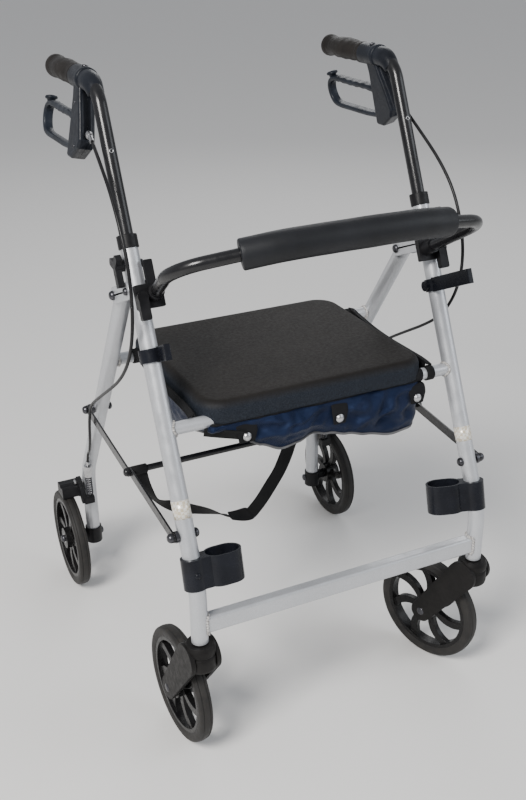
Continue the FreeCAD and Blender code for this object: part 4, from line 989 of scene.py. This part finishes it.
def make_bag():
    """Cloth tub with a bound top edge and a piped lower edge."""
    outline = bag_outline()
    levels = 22
    rings = []
    for level in range(levels + 1):
        depth = level / levels
        ring = []
        for x, y in outline:
            front_share = min(max((-y - 60) / 170, 0), 1)
            top = 526 - 4.5 * front_share
            bottom = 447 + (bag_bottom(x) - 447) * front_share + 3 * math.sin(x / 37)
            ring.append(at(*cloth_point(x, y, depth, top, bottom)))
        rings.append(ring)
    top_ring, bottom_ring = rings[0], rings[-1]
    centre = sum(bottom_ring, Vector()) / len(bottom_ring)
    for share in (0.94, 0.86, 0.66, 0.4, 0.12):
        ring = []
        for point in bottom_ring:
            place = centre + (point - centre) * share
            drop = 0.002 * math.sin(math.pi * share) + 0.0016 * noise_at(place * 1000, 70)
            level = point.z + (centre.z - point.z) * (1 - share)
            ring.append(Vector((place.x, place.y, level - 0.004 * (1 - share ** 6) - drop + 0.002)))
        rings.append(ring)
    count = len(outline)
    vertices = [point for ring in rings for point in ring]
    faces = []
    for level in range(len(rings) - 1):
        for index in range(count):
            after = (index + 1) % count
            base = level * count
            faces.append((base + index, base + after, base + count + after, base + count + index))
    faces.append(tuple(range((len(rings) - 1) * count, len(rings) * count)))
    tub = mesh_piece("cloth_bag", vertices, faces, "navy_nylon")
    thick = tub.modifiers.new("cloth_thickness", "SOLIDIFY")
    thick.thickness = 0.0014
    thick.offset = -1
    subdivide(tub)
    binding = tube("bag_top_binding", top_ring + top_ring[:1], 2.6, "binding", 10, False)
    piping_path = [point + Vector((0, 0, -0.0004)) for point in bottom_ring + bottom_ring[:1]]
    piping = tube("bag_bottom_piping", piping_path, 2.0, "piping", 10, False)
    pieces = [tub, binding, piping]
    for piece in pieces:
        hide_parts("bag")
        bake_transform(piece)


def make_flaps():
    """Webbing tabs that wrap over the front tube and close with press studs on the bag's face."""
    tube_y, tube_z, tube_r = front_leg_y(SEAT_TUBE_Z), SEAT_TUBE_Z, 10.4
    for index, (x, stud_z, half) in enumerate(FLAPS):
        spine = []
        for step in range(9):
            turn = math.radians(60 + step * 190 / 8)
            spine.append((tube_y + (tube_r + 0.4) * math.cos(turn), tube_z + (tube_r + 0.4) * math.sin(turn)))
        spine += [(-233.5, 516), (-237.5, 508), (-239.4, stud_z), (-238.6, stud_z - 10)]
        spine = [at(0, y, z) for y, z in spine]
        path = smooth_path(spine)
        rows = []
        for share_index, point in enumerate(path):
            share = share_index / (len(path) - 1)
            taper = 1 - 0.25 * max(0, share - 0.9) * 10
            rows.append([point + Vector(((x + half * taper * side + 0.7 * math.sin(share * 9)) / 1000, 0, 0))
                         for side in (-1, -0.5, 0, 0.5, 1)])
        flap = loft("bag_flap_%d" % (index + 1), rows, "binding", closed=False, caps=False)
        thick = flap.modifiers.new("webbing_thickness", "SOLIDIFY")
        thick.thickness = 0.0016
        thick.offset = 0
        subdivide(flap)
        attach(flap, "front_frame")
        stud = lathe("press_stud_%d" % (index + 1), at(x, -239.8, stud_z), Vector((0, -1, 0.05)),
                     [(0, 6.6), (0.7, 6.7), (1.2, 6.2), (1.5, 5.6), (2.6, 5.0), (3.5, 3.4), (3.9, 1.6),
                      (3.95, 0.1)], "steel", 32)
        attach(stud, "front_frame")
        if index == 0:
            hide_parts("bag_snaps")


def ribbon(name, spine, across, width, material="black_webbing", thickness=1.8):
    """Band of webbing along a line of points, its width in one direction."""
    path = smooth_path(spine)
    half = across.normalized() * width / 2000
    rows = [[point + half * share for share in (-1, -0.5, 0, 0.5, 1)] for point in path]
    strap = loft(name, rows, material, closed=False, caps=False)
    thick = strap.modifiers.new("webbing_thickness", "SOLIDIFY")
    thick.thickness = thickness / 1000
    thick.offset = 0
    return strap


def make_side_webbing():
    """Edge straps along the sides of the bag, looped round the front and rear tubes."""
    for name, side in SIDES:
        x = side * 198
        spine = [at(x, y, z) for y, z in ((-219, 538), (-208, 541), (-160, 540), (-100, 538), (-45, 540),
                                          (5, 546), (24, 549))]
        strap = ribbon("bag_side_webbing_" + name, spine, Vector((1, 0, -0.35 * side)), 11)
        skirt_line = ((-214, 533), (-160, 534), (-100, 532), (-45, 534), (12, 541))
        skirt_spine = [at(side * 193, y, z) for y, z in skirt_line]
        skirt = ribbon("bag_side_skirt_" + name, skirt_spine, Vector((0.25 * side, 0, 1)), 15, "binding", 1.4)
        for piece in (strap, skirt):
            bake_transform(piece)
        for end, y, z, body in (("front", front_leg_y(SEAT_TUBE_Z), SEAT_TUBE_Z, "front_frame"),
                                ("rear", *REAR_TUBE, "rear_frame")):
            if name == "left" and end == "front":
                continue
            loop = lathe("%s_tube_loop_%s" % (end, name), at(side * 189, y, z), Vector((side, 0, 0)),
                         [(0, 9.7), (0, 11.0), (0.8, 11.8), (12.2, 11.8), (13, 11.0), (13, 9.7)],
                         "black_webbing", 40)
            attach(loop, body)
    tail_line = ((-182, -224, 511), (-170, -229, 509), (-154, -234, 506), (-136, -237.5, 502),
                 (-122, -239, 498))
    tail = ribbon("bag_end_strap", [at(*place) for place in tail_line], Vector((0.05, -0.3, 1)), 15)
    attach(tail, "front_frame")


# ---- folding links and strap -------------------------------------------------------------------------
STRAP_EDGES = (((-256, 404), (-231, 404)), ((-254, 389), (-230, 387)), ((-243, 368), (-225, 366)),
               ((-231, 352), (-220, 349)), ((-217, 333), (-212, 345)), ((-199, 317), (-197, 340)),
               ((-182, 309), (-181, 333)), ((-165, 302), (-166, 325)), ((-133, 291), (-133, 309)),
               ((-111, 284), (-111, 291)), ((-97, 279), (-98, 283)), ((-83, 272), (-82, 283)),
               ((-68, 266), (-68, 286)), ((-52, 264), (-64, 286)), ((-46, 268), (-66, 285)),
               ((-28, 287), (-49, 301)), ((-11, 310), (-31, 326)), ((7, 336), (-15, 347)),
               ((17, 356), (-7, 364)), ((26, 378), (2, 384)), ((33, 404), (9, 404)))


def make_strap():
    """Webbing pull loop that hangs from the folding rod, twisted once and creased at its lowest point."""
    left = smooth_path([at(x, ROD[0], z) for (x, z), _ in STRAP_EDGES])
    right = smooth_path([at(x, ROD[0], z) for _, (x, z) in STRAP_EDGES])
    rows = []
    count = len(left)
    for index, (a, b) in enumerate(zip(left, right)):
        share = index / (count - 1)
        full = 0.0245
        width = (a - b).length
        tilt = math.sqrt(max(full ** 2 - width ** 2, 0)) / 2
        handed = 1 if share < 0.5 else -1
        belly = Vector((0, -0.003 * math.sin(share * math.pi), 0))
        a = a + Vector((0, tilt * handed * 0.75, 0)) + belly
        b = b - Vector((0, tilt * handed * 0.75, 0)) + belly
        rows.append([a + (b - a) * across + Vector((0, 0.0006 * math.sin(across * math.pi), 0))
                     for across in (0, 0.1, 0.3, 0.5, 0.7, 0.9, 1)])
    band = loft("fold_strap_webbing", rows, "black_webbing", closed=False, caps=False)
    thick = band.modifiers.new("webbing_thickness", "SOLIDIFY")
    thick.thickness = 0.0018
    thick.offset = 0
    subdivide(band)
    settle(band, "fold_strap")
    for index, x in enumerate((-243.5, 21)):
        loop = lathe("fold_strap_loop_%d" % (index + 1), at(x - 12.2, ROD[0], ROD[1]), Vector((1, 0, 0)),
                     [(0, 5.2), (0, 7.0), (0.8, 7.5), (23.6, 7.5), (24.4, 7.0), (24.4, 5.2)],
                     "black_webbing", 32)
        attach(loop, "fold_strap")


def make_links():
    for name in ("front_links", "rear_links"):
        refine(name, 0.5)
    refine("folding_rod", 0.3)


# ---- rear frame --------------------------------------------------------------------------------------
def make_rear_frame():
    for name in ("rear_leg_left", "rear_leg_right", "rear_cross_tube"):
        refine(name, 0.5)
    refine("rear_foot_caps", 1.2, segments=3)
    refine("rear_axles", 0.4, "dark_steel")
    refine("rear_link_bolts", 0.5, "dark_steel")
    refine("cable_stops", 0.6)
    refine("brake_springs", 0.0, "dark_steel")
    for name, side in SIDES:
        refine("brake_arm_" + name, 1.4, segments=3)
        weld("rear_tube_weld_" + name, at(side * (LEG_X - 12.4), *REAR_TUBE), Vector((1, 0, 0)), CROSS_TUBE_R,
             "rear_frame")


CABLE_ROUTES = {
    "left": [(258, -78, 868), (261, -118, 845), (263, -152, 812), (263, -178, 772), (263, -188, 726),
             (263, -186, 680), (263, -170, 634), (263, -140, 592), (264, -96, 553), (266, -44, 518),
             (267, 10, 483), (268, 56, 452), (268, 72, 424), (267, 84, 394), (264, 100, 362), (260, 124, 334),
             (254, 152, 316)],
    "right": [(260, -78, 858), (264, -122, 826), (266, -158, 790), (266, -182, 748), (266, -194, 704),
              (266, -192, 660), (266, -174, 616), (266, -142, 578), (266, -98, 548), (266, -46, 518),
              (267, 8, 486), (268, 56, 454), (268, 72, 424), (267, 84, 394), (264, 100, 362), (260, 124, 334),
              (254, 152, 316)],
}


def make_cables():
    """Sheathed brake cables: the upper run follows the handle, the lower run the rear legs."""
    for name, side in SIDES:
        start = rolled(side) @ (Vector((0, -33, -77)) / 1000)
        middle = [at(side * x, y, z) for x, y, z in CABLE_ROUTES[name]]
        top, bottom = at(side * 250, 188, 268), at(side * 250, 194, 244)
        lead = top + (top - bottom).normalized() * 0.029
        points = [start] + middle + [lead, top + (bottom - top) * 0.35]
        split = (points[5] + points[6]) / 2
        upper = tube("brake_cable_upper_" + name, smooth_path(points[:6] + [split]), 2.5, "cable_sheath")
        lower = tube("brake_cable_lower_" + name, smooth_path([split] + points[6:]), 2.5, "cable_sheath")
        for piece in (upper, lower):
            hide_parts("brake_cable_" + name)
        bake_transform(upper)
        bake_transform(lower)
        wire_end = at(side * 246, 207, 194)
        wire_path = [top + (bottom - top) * 0.3, bottom, bottom + (wire_end - bottom) * 0.5, wire_end]
        wire = tube("brake_wire_" + name, wire_path, 1.0, "steel", 10)
        attach(wire, "rear_frame")
        ferrule = lathe("cable_ferrule_" + name, top + (top - bottom).normalized() * 0.010, bottom - top,
                        [(0, 2.6), (0, 3.3), (11, 3.5), (11, 2.6)], "steel", 24)
        attach(ferrule, "rear_frame")


make_front_frame()
make_wheels()
for name, side in SIDES:
    make_grip(name, side)
    make_lever(name, side)
    make_housing(name, side)
make_seat()
make_pad()
make_bag()
make_flaps()
make_side_webbing()
make_strap()
make_links()
make_rear_frame()
make_cables()
